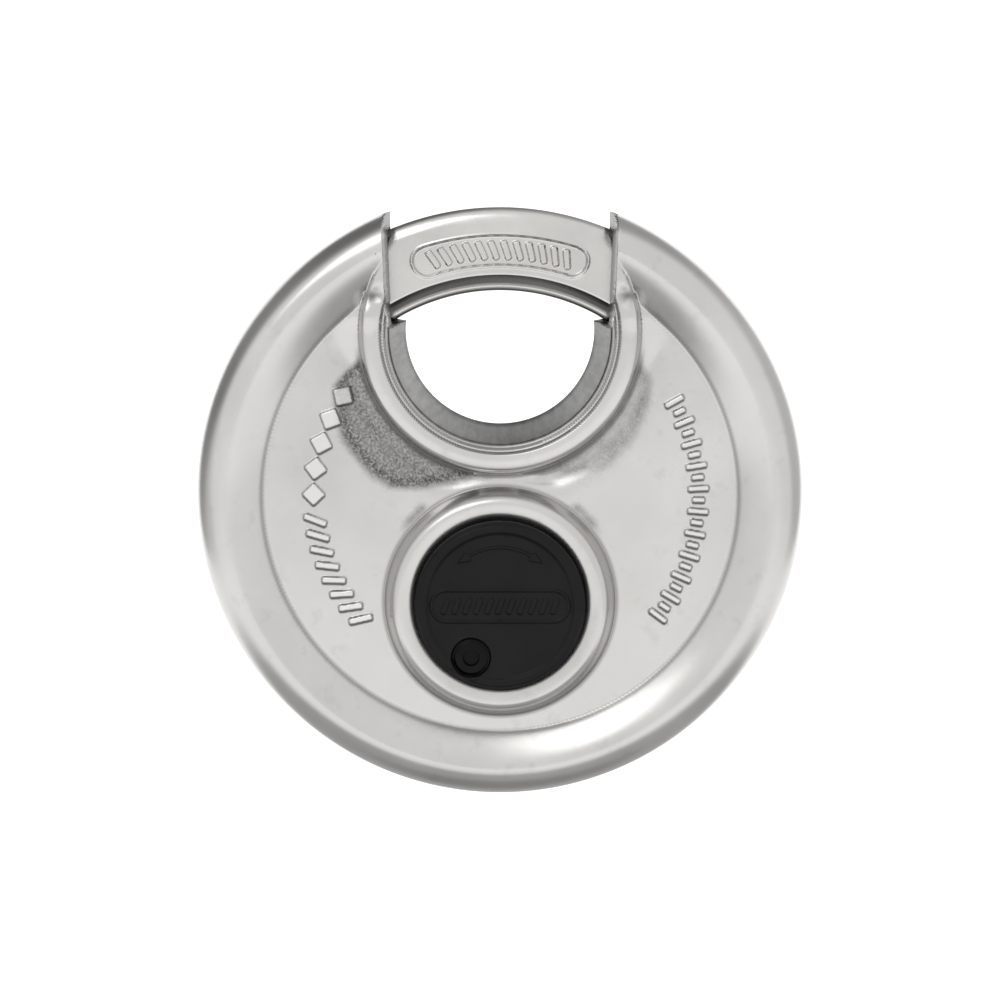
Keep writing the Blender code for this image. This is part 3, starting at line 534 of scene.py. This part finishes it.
def triangulate(points, loops):
    """Constrained Delaunay triangles inside the first loop and outside the others.

    Gives the vertices, the triangles and, for each point of the loops, its vertex.
    """
    every = np.concatenate([*loops, points])
    edges = []
    base = 0
    for loop in loops:
        count = len(loop)
        edges += [(base + i, base + (i + 1) % count) for i in range(count)]
        base += count
    made = geometry.delaunay_2d_cdt([Vector(p) for p in every], edges, [], 0, 1e-7)
    verts = np.array([tuple(v) for v in made[0]])
    tris = np.array(list(made[2]))
    middle = verts[tris].mean(axis=1)
    keep = inside_outline(middle, loops[0])
    for loop in loops[1:]:
        keep &= ~inside_outline(middle, loop)
    vertex_of = np.full(len(every), -1)
    for vertex, sources in enumerate(made[3]):
        for source in sources:
            vertex_of[source] = vertex
    return verts, tris[keep], vertex_of[:base]


# ---------------------------------------------------------------- shell meshes

def skin_sheet(skin, fine):
    """One skin triangulated: its loops, flat points, triangles, loop vertices and points in space."""
    gap = 0.1
    edge, heights = skin.outline()
    loops = [edge]
    points = fine_points(skin) if fine else hex_grid(INNER_HALF, INNER_SPACING)
    points = points[inside_outline(points, edge)]
    if skin.side == FRONT:
        loops.append(skin.hole())
        points = points[np.hypot(points[:, 0], points[:, 1] - CYL_Z) > HOLE_R + gap]
    points = points[clear_of(points, np.concatenate(loops), gap)]
    flat, tris, loop_verts = triangulate(points, loops)
    xyz = skin.surface(flat)
    xyz[loop_verts[:len(edge)], 1] = skin.side * heights
    return loops, flat, tris, loop_verts, xyz


def shell_mesh(name, side):
    """A pressed shell: a fine outer skin, a coarser inner one, and a strip that joins their edges."""
    outer, inner = Pressing(side, 0.0), Pressing(side, SHEET)
    loops, out_flat, out_tris, out_loop, out_xyz = skin_sheet(outer, True)
    _, in_flat, in_tris, in_loop, in_xyz = skin_sheet(inner, False)
    base = len(out_flat)
    faces = [tuple(t) if side == FRONT else tuple(t[::-1]) for t in out_tris]
    faces += [tuple(base + t[::-1]) if side == FRONT else tuple(base + t) for t in in_tris]
    start = 0
    for loop in loops:
        count = len(loop)
        for i in range(count):
            here, there = start + i, start + (i + 1) % count
            faces.append((out_loop[here], out_loop[there], base + in_loop[there], base + in_loop[here]))
        start += count
    flat, xyz = np.concatenate([out_flat, in_flat]), np.concatenate([out_xyz, in_xyz])
    mesh = bpy.data.meshes.new(name)
    mesh.from_pydata((xyz * MM).tolist(), [], [list(map(int, f)) for f in faces])
    mesh.update()
    face_outwards(mesh)
    shade_skin(mesh, len(out_tris), outer.normals(out_flat))
    add_masks(mesh, flat, xyz, side)
    return new_object(name, mesh)


def new_object(name, mesh):
    obj = bpy.data.objects.new(name, mesh)
    bpy.context.scene.collection.objects.link(obj)
    return obj


def face_outwards(mesh):
    bm = bmesh.new()
    bm.from_mesh(mesh)
    bmesh.ops.recalc_face_normals(bm, faces=bm.faces)
    bm.to_mesh(mesh)
    bm.free()


def shade_skin(mesh, skin_faces, normals):
    """Give the outer skin its exact normals and leave the cut edges and the inside flat."""
    count = len(mesh.polygons)
    totals = np.empty(count, int)
    mesh.polygons.foreach_get("loop_total", totals)
    verts = np.empty(len(mesh.loops), int)
    mesh.loops.foreach_get("vertex_index", verts)
    face_normals = np.empty(count * 3)
    mesh.polygons.foreach_get("normal", face_normals)
    corner_face = np.repeat(np.arange(count), totals)
    corner_normals = face_normals.reshape(-1, 3)[corner_face]
    on_skin = corner_face < skin_faces
    corner_normals[on_skin] = normals[verts[on_skin]]
    mesh.polygons.foreach_set("use_smooth", [True] * count)
    mesh.normals_split_custom_set(corner_normals.tolist())


# ---------------------------------------------------------------- masks for the shader

def valley_masks(x, z):
    """Valleys beside the collar, with thin tails round the boss, and their darker fringe: masks for painted
    shade, and for more roughness in the valleys.
    """
    from_boss, from_throat = np.hypot(x, z - CYL_Z), np.hypot(x, z - THROAT_Z)
    from_down = np.abs(np.degrees(np.arctan2(x, THROAT_Z - z)))
    from_up = np.degrees(np.arctan2(np.abs(x), z - CYL_Z))
    limit = np.interp(from_down, VALLEY_ANGLES, VALLEY_LIMITS)
    limit = np.where(x > 0.0, VALLEY_IN_R + VALLEY_RIGHT_REACH * (limit - VALLEY_IN_R), limit)
    off_boss = smooth_step(*BOSS_FOOT_EDGE, from_boss)
    reach = smooth_step(limit + VALLEY_FADE_OUT, limit - VALLEY_FADE_IN, from_throat)
    valley = smooth_step(*VALLEY_EDGE, from_throat) * reach * off_boss
    valley *= np.where(x > 0.0, VALLEY_RIGHT_LEVEL, 1.0)
    tail = bell(from_boss, TAIL_R, TAIL_WIDTH) * smooth_step(*TAIL_STARTS, from_up)
    tail *= smooth_step(*TAIL_ENDS, from_up)
    valley = np.maximum(valley, TAIL_LEVEL * tail * off_boss)
    fringe = FRINGE_LEVEL * bell(from_throat, limit - FRINGE_IN, FRINGE_WIDTH) * valley ** 2
    return valley, fringe


def line_masks(x, z):
    """Painted shade as dark lines: the groove, the boss's foot, the collar's foot and the collar's two folds.
    """
    r, from_boss, from_throat = np.hypot(x, z), np.hypot(x, z - CYL_Z), np.hypot(x, z - THROAT_Z)
    from_down = np.abs(np.degrees(np.arctan2(x, THROAT_Z - z)))
    inside_rim = smooth_step(34.5, 33.0, r)
    (outer_fold_r, *_), (inner_fold_r, *_) = COLLAR_FOLDS
    lines = [
        0.55 * bell(r, GROOVE_R + 0.05, 0.22) * smooth_step(18.4, 20.0, from_throat),
        0.5 * bell(from_boss, BOSS_FOOT_R, 0.2),
        bell(from_throat, VALLEY_LINE_R, VALLEY_LINE_WIDTH) * smooth_step(86.0, 74.0, from_down),
        0.85 * bell(from_throat, outer_fold_r, 0.14) * inside_rim,
        0.75 * bell(from_throat, inner_fold_r, 0.12) * inside_rim,
    ]
    return np.maximum.reduce(lines)


def mark_masks(x, z):
    """The marks' raised tops, for a painted highlight, and painted shade as dark lines round them, darkest on
    the lower side.
    """
    stamped = relief(x, z, MARKS, 1.0, MARK_SOFT)
    above = relief(x, z + MARK_SHADE_STEP, MARKS, 1.0, MARK_SOFT)
    below = relief(x - MARK_SHADE_SIDE, z - MARK_SHADE_STEP, MARKS, 1.0, MARK_SOFT)
    return stamped, np.maximum(1.1 * stamped * (1.0 - stamped), np.clip(above - below, 0.0, 1.0))


def add_masks(mesh, flat, xyz, side):
    """Vertex masks for the shader: painted shade as dark lines and on the foot of the mouth's walls on both
    shells, the throat's wall for painted shade and more roughness, and on the front shell the valleys and the
    marks, with their painted shade and highlight, and painted shade in a dent."""
    x, z = flat[:, 0], flat[:, 1]
    painted_crease_shade = line_masks(x, z)
    beside = np.abs(xyz[:, 0]) - MOUTH_HALF - MOUTH_FLARE * np.maximum(xyz[:, 2] - MOUTH_LOW_Z, 0.0)
    above = smooth_step(MOUTH_LOW_Z - 0.5, MOUTH_LOW_Z + 1.0, xyz[:, 2])
    # painted shade on the foot of the mouth's walls, beside the shackle
    painted_crease_shade = np.maximum(painted_crease_shade, 0.9 * smooth_step(0.58, 0.46, beside) * above)
    valley, fringe, stamped = np.zeros_like(x), np.zeros_like(x), np.zeros_like(x)
    if side == FRONT:
        valley, fringe = valley_masks(x, z)
        stamped, mark_painted_shade = mark_masks(x, z)
        # painted shade in the hollow dent beside the mouth
        dent_shade_x = (np.abs(x) - DENT_SHADE_PLACE[0]) / DENT_SHADE_STRETCH[0]
        dent_shade_z = (z - DENT_SHADE_PLACE[1]) / DENT_SHADE_STRETCH[1]
        dent_painted_shade = DENT_SHADE_LEVEL * bell(np.hypot(dent_shade_x, dent_shade_z), 0.0, DENT_SHADE_WIDTH)
        painted_crease_shade = np.maximum.reduce([painted_crease_shade, mark_painted_shade, dent_painted_shade])
    # the throat's wall, for painted shade and more roughness
    wall = smooth_step(*WALL_EDGE, np.hypot(x, z - THROAT_Z))
    masks = {"valley": valley, "fringe": fringe, "painted_crease_shade": painted_crease_shade, "wall": wall, "stamped": stamped}
    for name, values in masks.items():
        layer = mesh.attributes.new(name, "FLOAT", "POINT")
        layer.data.foreach_set("value", values.astype(np.float32))


# ---------------------------------------------------------------- node helpers

class Nodes:
    """A short way to write a node material."""

    def __init__(self, name):
        self.mat = bpy.data.materials.new(name)
        self.mat.use_nodes = True
        self.tree = self.mat.node_tree
        self.shader = self.tree.nodes["Principled BSDF"]

    def put(self, target, value):
        """Link a socket, or set a constant."""
        if isinstance(value, bpy.types.NodeSocket):
            self.tree.links.new(value, target)
        else:
            target.default_value = value

    def node(self, kind, **settings):
        made = self.tree.nodes.new(kind)
        for key, value in settings.items():
            setattr(made, key, value)
        return made

    def coords(self, stretch):
        source = self.node("ShaderNodeTexCoord").outputs["Object"]
        mapping = self.node("ShaderNodeMapping")
        self.put(mapping.inputs["Vector"], source)
        mapping.inputs["Scale"].default_value = stretch
        return mapping.outputs["Vector"]

    def noise(self, scale, detail, rough, stretch=(1.0, 1.0, 1.0)):
        made = self.node("ShaderNodeTexNoise")
        self.put(made.inputs["Vector"], self.coords(stretch))
        made.inputs["Scale"].default_value = scale
        made.inputs["Detail"].default_value = detail
        made.inputs["Roughness"].default_value = rough
        return made.outputs["Fac"]

    def mask(self, name):
        return self.node("ShaderNodeAttribute", attribute_name=name).outputs["Fac"]

    def maths(self, operation, a, b, clamp=False):
        made = self.node("ShaderNodeMath", operation=operation, use_clamp=clamp)
        self.put(made.inputs[0], a)
        self.put(made.inputs[1], b)
        return made.outputs[0]

    def add(self, a, b):
        return self.maths("ADD", a, b)

    def times(self, a, b, clamp=False):
        return self.maths("MULTIPLY", a, b, clamp)

    def spread(self, value, low, high, out_low=0.0, out_high=1.0):
        made = self.node("ShaderNodeMapRange")
        self.put(made.inputs["Value"], value)
        made.inputs["From Min"].default_value = low
        made.inputs["From Max"].default_value = high
        made.inputs["To Min"].default_value = out_low
        made.inputs["To Max"].default_value = out_high
        return made.outputs["Result"]

    def mix(self, fac, a, b):
        made = self.node("ShaderNodeMix", data_type="RGBA")
        self.put(made.inputs[0], fac)
        self.put(made.inputs[6], a if isinstance(a, bpy.types.NodeSocket) else (*a, 1.0))
        self.put(made.inputs[7], b if isinstance(b, bpy.types.NodeSocket) else (*b, 1.0))
        return made.outputs[2]

    def bump(self, height, strength, distance, normal=None):
        made = self.node("ShaderNodeBump")
        self.put(made.inputs["Height"], height)
        self.put(made.inputs["Strength"], strength)
        made.inputs["Distance"].default_value = distance
        if normal is not None:
            self.put(made.inputs["Normal"], normal)
        return made.outputs["Normal"]

    def finish(self, color, roughness, normal=None, metallic=1.0):
        self.put(self.shader.inputs["Base Color"], color)
        self.put(self.shader.inputs["Roughness"], roughness)
        self.put(self.shader.inputs["Metallic"], metallic)
        if normal is not None:
            self.put(self.shader.inputs["Normal"], normal)
        return self.mat


# ---------------------------------------------------------------- materials

def pressed_stainless():
    """Satin pressed stainless steel: cloudy tone, fine grain, rougher valleys speckled and darkened with
    painted shade, a painted highlight on the mark tops, rougher throat walls darkened with painted shade, and
    painted shade as dark lines that lose their metallic shine."""
    n = Nodes("pressed_stainless")
    cloud = n.noise(scale=55.0, detail=4.0, rough=0.55)
    spots = n.noise(scale=420.0, detail=3.0, rough=0.6)
    grain = n.noise(scale=5200.0, detail=2.0, rough=0.6)
    speckle = n.noise(scale=3000.0, detail=2.0, rough=0.7)
    patches = n.noise(scale=520.0, detail=3.0, rough=0.6)
    streak = n.noise(scale=1100.0, detail=3.0, rough=0.6, stretch=(1.0, 0.06, 1.0))
    valley, fringe, painted_crease_shade, wall = n.mask("valley"), n.mask("fringe"), n.mask("painted_crease_shade"), n.mask("wall")

    color = n.mix(n.spread(cloud, 0.3, 0.7), (0.55, 0.54, 0.525), (0.635, 0.625, 0.61))
    color = n.mix(n.times(n.spread(spots, 0.58, 0.75), 0.3), color, (0.45, 0.44, 0.42))
    # painted shade in the valleys: darker speckled colour, brought in by the valley mask with a ragged edge
    speckled_painted_shade = n.mix(n.spread(speckle, 0.36, 0.64), (0.10, 0.098, 0.094), (0.38, 0.37, 0.36))
    # painted shade along the valleys' fringe: near-black speckled colour
    fringe_painted_shade = n.mix(n.spread(speckle, 0.42, 0.66), (0.03, 0.03, 0.028), (0.30, 0.29, 0.28))
    ragged = n.add(n.times(speckle, 0.7), n.times(patches, 0.7))
    color = n.mix(n.times(n.spread(n.add(valley, ragged), 0.85, 1.65), 0.88), color, speckled_painted_shade)
    color = n.mix(fringe, color, fringe_painted_shade)
    # painted shade on the throat's wall, with streaks
    wall_painted_shade = n.mix(n.spread(streak, 0.35, 0.65), (0.15, 0.147, 0.142), (0.235, 0.23, 0.225))
    color = n.mix(wall, color, wall_painted_shade)
    # painted highlight on the marks' raised tops
    color = n.mix(n.times(n.mask("stamped"), 0.6), color, (0.80, 0.79, 0.775))
    # painted shade in creases, round the marks and in a dent: near-black and less metallic
    color = n.mix(n.times(painted_crease_shade, 0.95, clamp=True), color, (0.035, 0.033, 0.031))

    rough = n.add(n.spread(cloud, 0.3, 0.7, 0.2, 0.28), n.times(valley, 0.15))
    rough = n.add(rough, n.times(wall, 0.15))
    normal = n.bump(grain, strength=0.12, distance=0.00003)
    normal = n.bump(speckle, strength=n.times(valley, 0.5), distance=0.0001, normal=normal)
    n.shader.inputs["Specular IOR Level"].default_value = 0.1
    metallic = n.maths("SUBTRACT", 1.0, n.times(painted_crease_shade, 0.9, clamp=True))
    return n.finish(color, rough, normal, metallic)


def plain_metal(name, color, dark, rough):
    """A machined or cast metal with cloudy tone and fine grain."""
    n = Nodes(name)
    cloud = n.noise(scale=140.0, detail=4.0, rough=0.6)
    grain = n.noise(scale=3600.0, detail=2.0, rough=0.6)
    tone = n.mix(n.spread(cloud, 0.3, 0.7), dark, color)
    normal = n.bump(grain, strength=0.2, distance=0.00004)
    return n.finish(tone, n.spread(cloud, 0.3, 0.7, rough - 0.05, rough + 0.07), normal)


def black_plastic():
    """Satin moulded plastic, nearly black, with a faint sheen."""
    n = Nodes("cover_black_plastic")
    cloud = n.noise(scale=180.0, detail=3.0, rough=0.6)
    grain = n.noise(scale=4200.0, detail=2.0, rough=0.5)
    tone = n.mix(n.spread(cloud, 0.35, 0.65), (0.0045, 0.0045, 0.005), (0.0075, 0.0075, 0.008))
    n.shader.inputs["Specular IOR Level"].default_value = 0.17
    normal = n.bump(grain, strength=0.12, distance=0.00003)
    return n.finish(tone, n.spread(cloud, 0.3, 0.7, 0.34, 0.46), normal, metallic=0.0)


# ---------------------------------------------------------------- ring shackle

def quarter(steps):
    """Angles from 0 to a right angle."""
    return [math.radians(90.0 * i / steps) for i in range(steps + 1)]


def shackle_section():
    """The ring's section as (radius, depth) points, and how many of them lie on its front face.

    It runs over the front face from the inner edge outwards, round the outer edge, over the back and
    round the inner edge.
    """
    half, out_r, in_r = RING_HALF_T, RING_OUT_R, RING_IN_R
    outer = [(out_r - RING_OUT_ROUND_R + RING_OUT_ROUND_R * math.sin(a),
              half - RING_OUT_ROUND_T + RING_OUT_ROUND_T * math.cos(a)) for a in quarter(10)]
    inner = [(in_r + RING_IN_ROUND - RING_IN_ROUND * math.sin(a),
              half - RING_IN_DROP + RING_IN_ROUND * math.cos(a)) for a in quarter(7)]
    edge = [(in_r + out, half - drop) for out, drop in RING_SLOPE] + inner
    face = [(r, half) for r in np.arange(in_r + 2.3, out_r - 2.65, FACE_STEP)]
    front = [(r, -y) for r, y in face]
    outline = front + [(r, -y) for r, y in outer] + outer[::-1]
    outline += face[::8][::-1] + edge
    outline += [(r, -y) for r, y in reversed(edge)]
    return outline, len(front)


def plaque_depth(r, degrees):
    """How far the front face is sunk for the plaque, less its raised bars."""
    along = np.radians(degrees - 90.0) * PLAQUE_R
    across = r - PLAQUE_R
    away = box_distance(along, across, PLAQUE_LENGTH, PLAQUE_WIDTH, PLAQUE_CORNER)
    sunk = PLAQUE_DEPTH * smooth_step(0.1, -0.22, away)
    lip = -PLAQUE_LIP * bell(away, 0.18, 0.16)
    return sunk + lip - relief(along, across, PLAQUE_BARS, PLAQUE_BAR_H, 0.2)


def shackle_mesh():
    """The ring shackle, with raised bars in a curved plaque across the top of its front."""
    outline, flat = shackle_section()
    toe_steps, tail_steps = 16, 150
    degrees = np.concatenate([np.linspace(TOE_ANGLE, PLAQUE_FROM, toe_steps)[:-1],
                              np.arange(PLAQUE_FROM, PLAQUE_TO, PLAQUE_STEP),
                              np.linspace(PLAQUE_TO, TAIL_ANGLE, tail_steps)])
    r = np.array([p[0] for p in outline])
    y = np.array([p[1] for p in outline])
    n, m = len(degrees), len(outline)
    rr, dd = np.meshgrid(r, degrees)
    yy = np.tile(y, (n, 1))
    yy[:, :flat] += plaque_depth(rr[:, :flat], dd[:, :flat])
    a = np.radians(dd)
    xyz = np.stack([rr * np.cos(a), yy, rr * np.sin(a)], axis=2).reshape(-1, 3) * MM
    faces = []
    for i in range(n - 1):
        for k in range(m):
            j = (k + 1) % m
            faces.append((i * m + k, i * m + j, (i + 1) * m + j, (i + 1) * m + k))
    faces.append(tuple(range(m)))
    faces.append(tuple(range((n - 1) * m, n * m))[::-1])
    mesh = bpy.data.meshes.new("ring_shackle")
    mesh.from_pydata(xyz.tolist(), [], faces)
    face_outwards(mesh)
    mesh.shade_smooth()
    mesh.set_sharp_from_angle(angle=math.radians(RING_SHARP_ANGLE))
    return new_object("ring_shackle", mesh)


# ---------------------------------------------------------------- cover and rivet

def disc_mesh(name, centre, radius, base_h, height_of, rim, spacing):
    """A round piece: a relief over its front face, a flat underside, and sides by rim, a list of
    (rise above base_h, distance in from the radius)."""
    a = np.linspace(0.0, 2.0 * math.pi, DISC_FACETS, endpoint=False)
    turns = [(radius - shrink, np.full(DISC_FACETS, base_h + rise)) for rise, shrink in rim]
    for r in np.arange(radius, DISC_CENTRE_R, -spacing):
        turns.append((r, height_of(r * np.cos(a), r * np.sin(a))))
    bm = bmesh.new()
    made = []
    for r, heights in turns:
        made.append([bm.verts.new(((centre[0] + x) * MM, -h * MM, (centre[1] + z) * MM))
                     for x, z, h in zip(r * np.cos(a), r * np.sin(a), heights)])
    for one, two in zip(made, made[1:]):
        for k in range(DISC_FACETS):
            after = (k + 1) % DISC_FACETS
            bm.faces.new((one[k], one[after], two[after], two[k]))
    bm.faces.new(made[-1])
    bm.faces.new(made[0][::-1])
    bmesh.ops.recalc_face_normals(bm, faces=bm.faces)
    mesh = bpy.data.meshes.new(name)
    bm.to_mesh(mesh)
    bm.free()
    mesh.shade_smooth()
    mesh.set_sharp_from_angle(angle=math.radians(DISC_SHARP_ANGLE))
    return new_object(name, mesh)


def arrow_distance(x, z):
    """Distance from the double-headed arc arrow near the cover's top."""
    r, angle = np.hypot(x, z), np.degrees(np.arctan2(z, x))
    inside = np.clip(angle, 90.0 - ARROW_HALF, 90.0 + ARROW_HALF)
    best = np.hypot(r - ARROW_R, np.radians(angle - inside) * ARROW_R) - ARROW_LINE
    for sign in (-1.0, 1.0):
        a = math.radians(90.0 - sign * ARROW_HALF)
        from_x, from_z = x - ARROW_R * math.cos(a), z - ARROW_R * math.sin(a)
        along_x, along_z = sign * math.sin(a), -sign * math.cos(a)
        u = from_x * along_x + from_z * along_z
        v = np.abs(-from_x * along_z + from_z * along_x)
        head = np.maximum(np.maximum(-0.1 - u, (u - HEAD_LENGTH) * 0.5), v - HEAD_SLOPE * (HEAD_LENGTH - u))
        best = np.minimum(best, head)
    return best


def cover_height(x, z):
    """The cover's front: bevelled rim, shallow dish, arrow, framed bars and the rivet's seat."""
    r = np.hypot(x, z)
    h = COVER_TOP_H - COVER_BEVEL * smooth_step(COVER_R - COVER_BEVEL_WIDTH, COVER_R, r) ** 1.3
    h = h - COVER_DISH * smooth_step(COVER_R - COVER_DISH_OUT, COVER_R - COVER_DISH_IN, r)
    h = h + LINE_H * smooth_step(0.1, -0.06, arrow_distance(x, z))
    frame_away = np.abs(box_distance(x, z - FRAME_Z, FRAME_LENGTH, FRAME_WIDTH, FRAME_CORNER)) - FRAME_LINE
    h = h + LINE_H * smooth_step(0.14, -0.06, frame_away)
    h = h + relief(x, z, COVER_BARS, COVER_BAR_H, 0.2)
    seat = np.hypot(x - PIVOT[0], z - (PIVOT[1] - CYL_Z)) - RIVET_R
    h = h - SEAT_DEPTH * smooth_step(0.2, 0.08, seat)
    return h + 0.1 * bell(seat, 0.36, 0.14)


def rivet_height(x, z):
    """The rivet's front: rounded edge and a hollow in the middle."""
    r = np.hypot(x, z)
    h = COVER_TOP_H - RIVET_SUNK - 0.3 * smooth_step(RIVET_R - 0.5, RIVET_R, r)
    return h - RIVET_HOLE_DEPTH * smooth_step(RIVET_HOLE_R + 0.18, RIVET_HOLE_R - 0.1, r)


# ---------------------------------------------------------------- build

def dress(obj, look, body, node):
    """Give a piece its look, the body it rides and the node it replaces."""
    obj.data.materials.append(look)
    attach(obj, body)
    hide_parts(node)


STEEL = pressed_stainless()
dress(shell_mesh("front_pressing", FRONT), STEEL, "lock_body", "front_shell")
dress(shell_mesh("rear_pressing", BACK), STEEL, "lock_body", "back_shell")

RING_STEEL = plain_metal("shackle_steel", (0.64, 0.63, 0.61), (0.56, 0.55, 0.535), 0.18)
dress(shackle_mesh(), RING_STEEL, "shackle_ring", "shackle")

cover = disc_mesh("keyway_cover", (0.0, CYL_Z), COVER_R, COVER_LOW_H, cover_height, COVER_RIM, COVER_STEP)
dress(cover, black_plastic(), "cover", "dust_cover")

RIVET_BLACK = plain_metal("blackened_rivet", (0.018, 0.018, 0.018), (0.008, 0.008, 0.008), 0.38)
RIVET_LOW_H = COVER_TOP_H - RIVET_BASE_DROP
rivet = disc_mesh("hollow_rivet", PIVOT, RIVET_R, RIVET_LOW_H, rivet_height, RIVET_RIM, RIVET_STEP)
dress(rivet, RIVET_BLACK, "cover", "cover_rivet")

LOOKS = {
    "die_cast_zinc": plain_metal("die_cast_zinc", (0.42, 0.42, 0.43), (0.33, 0.33, 0.34), 0.5),
    "brass": plain_metal("machined_brass", (0.72, 0.56, 0.28), (0.60, 0.45, 0.20), 0.28),
    "disc_brass": plain_metal("stamped_brass", (0.76, 0.62, 0.34), (0.66, 0.52, 0.26), 0.32),
    "keyway_steel": plain_metal("keyway_steel", (0.56, 0.56, 0.56), (0.44, 0.44, 0.44), 0.28),
    "hard_steel": plain_metal("hard_steel", (0.45, 0.45, 0.46), (0.34, 0.34, 0.35), 0.35),
}
for part in frame["record"]["subparts"]:
    node = frame["nodes"][part["node"]]
    if part["material_slot"] in LOOKS:
        node.data.materials.clear()
        node.data.materials.append(LOOKS[part["material_slot"]])


# ---------------------------------------------------------------- floor, light and camera

def pale_floor_look():
    """Even white paper, with a painted shadow: greyer and less glowing in a soft round patch under and behind
    the lock.
    """
    n = Nodes("pale_floor")
    split = n.node("ShaderNodeSeparateXYZ")
    n.put(split.inputs[0], n.node("ShaderNodeTexCoord").outputs["Object"])
    away = n.add(n.maths("POWER", split.outputs["X"], 2.0), n.maths("POWER", split.outputs["Y"], 2.0))
    away = n.add(away, n.maths("POWER", n.maths("MAXIMUM", split.outputs["Z"], 0.0), 2.0))
    # painted shadow: darker and dimmer near the lock
    near, far = n.spread(away, 0.0012, 0.008), n.spread(away, 0.035, 0.085)
    color = n.mix(far, (0.16, 0.16, 0.16), (0.45, 0.45, 0.45))
    glow_with_painted_shadow = n.add(n.spread(near, 0.0, 1.0, 0.2, 0.36), n.spread(far, 0.0, 1.0, 0.0, 0.5))
    n.put(n.shader.inputs["Emission Color"], (1.0, 1.0, 1.0, 1.0))
    n.put(n.shader.inputs["Emission Strength"], glow_with_painted_shadow)
    return n.finish(color, 0.9, metallic=0.0)


def make_floor():
    """A pale floor that curves up into a backdrop behind the lock."""
    path = [(FLOOR_FRONT_Y, FLOOR_LOW), (FLOOR_BEND_Y, FLOOR_LOW)]
    for a in quarter(FLOOR_BEND_STEPS)[1:]:
        along, up = FLOOR_BEND_R * math.sin(a), FLOOR_BEND_R * (1.0 - math.cos(a))
        path.append((FLOOR_BEND_Y + along, FLOOR_LOW + up))
    path.append((FLOOR_BEND_Y + FLOOR_BEND_R, FLOOR_TOP))
    bm = bmesh.new()
    rows = [[bm.verts.new((x, y, z)) for x in (-FLOOR_HALF_WIDTH, FLOOR_HALF_WIDTH)] for y, z in path]
    for one, two in zip(rows, rows[1:]):
        bm.faces.new((one[0], one[1], two[1], two[0]))
    mesh = bpy.data.meshes.new("floor")
    bm.to_mesh(mesh)
    bm.free()
    mesh.shade_smooth()
    mesh.materials.append(pale_floor_look())
    new_object("floor", mesh)


def make_world():
    """A bright tent with dark flags behind the lock, most of all up and to the left."""
    world = bpy.data.worlds.new("studio")
    bpy.context.scene.world = world
    world.use_nodes = True
    tree = world.node_tree
    back = tree.nodes["Background"]
    back.inputs["Color"].default_value = (1.0, 1.0, 1.0, 1.0)
    coord = tree.nodes.new("ShaderNodeTexCoord")
    light = None
    for direction, start, full, left_over in FLAGS:
        dot = tree.nodes.new("ShaderNodeVectorMath")
        dot.operation = "DOT_PRODUCT"
        tree.links.new(coord.outputs["Generated"], dot.inputs[0])
        dot.inputs[1].default_value = Vector(direction).normalized()
        level = tree.nodes.new("ShaderNodeMapRange")
        level.interpolation_type = "SMOOTHSTEP"
        tree.links.new(dot.outputs["Value"], level.inputs["Value"])
        for key, value in (("From Min", start), ("From Max", full), ("To Min", 1.0), ("To Max", left_over)):
            level.inputs[key].default_value = value
        if light is None:
            light = level.outputs["Result"]
            continue
        product = tree.nodes.new("ShaderNodeMath")
        product.operation = "MULTIPLY"
        tree.links.new(light, product.inputs[0])
        tree.links.new(level.outputs["Result"], product.inputs[1])
        light = product.outputs[0]
    tree.links.new(light, back.inputs["Strength"])


def add_to_scene(name, data, place, looking):
    """Put a lamp or camera at a place, looking in a direction."""
    obj = bpy.data.objects.new(name, data)
    bpy.context.scene.collection.objects.link(obj)
    obj.location = place
    obj.rotation_mode = "QUATERNION"
    obj.rotation_quaternion = looking.to_track_quat("-Z", "Y")
    return obj


def make_key_light():
    """A large soft lamp up to the left, in front of the lock."""
    data = bpy.data.lights.new("key", "AREA")
    data.shape = "RECTANGLE"
    data.size = data.size_y = KEY_SIZE
    data.energy = KEY_POWER
    add_to_scene("key", data, KEY_PLACE, -Vector(KEY_PLACE))


def make_camera():
    elevation = math.radians(CAMERA_ELEVATION)
    away = Vector((0.0, -math.cos(elevation), math.sin(elevation)))
    data = bpy.data.cameras.new("camera")
    data.lens = CAMERA_LENS
    data.sensor_width = SENSOR_WIDTH
    data.clip_start = 0.01
    place = Vector(CAMERA_AIM) + away * CAMERA_DISTANCE
    bpy.context.scene.camera = add_to_scene("camera", data, place, -away)


make_floor()
make_world()
make_key_light()
make_camera()
bpy.context.scene.view_settings.view_transform = "Standard"
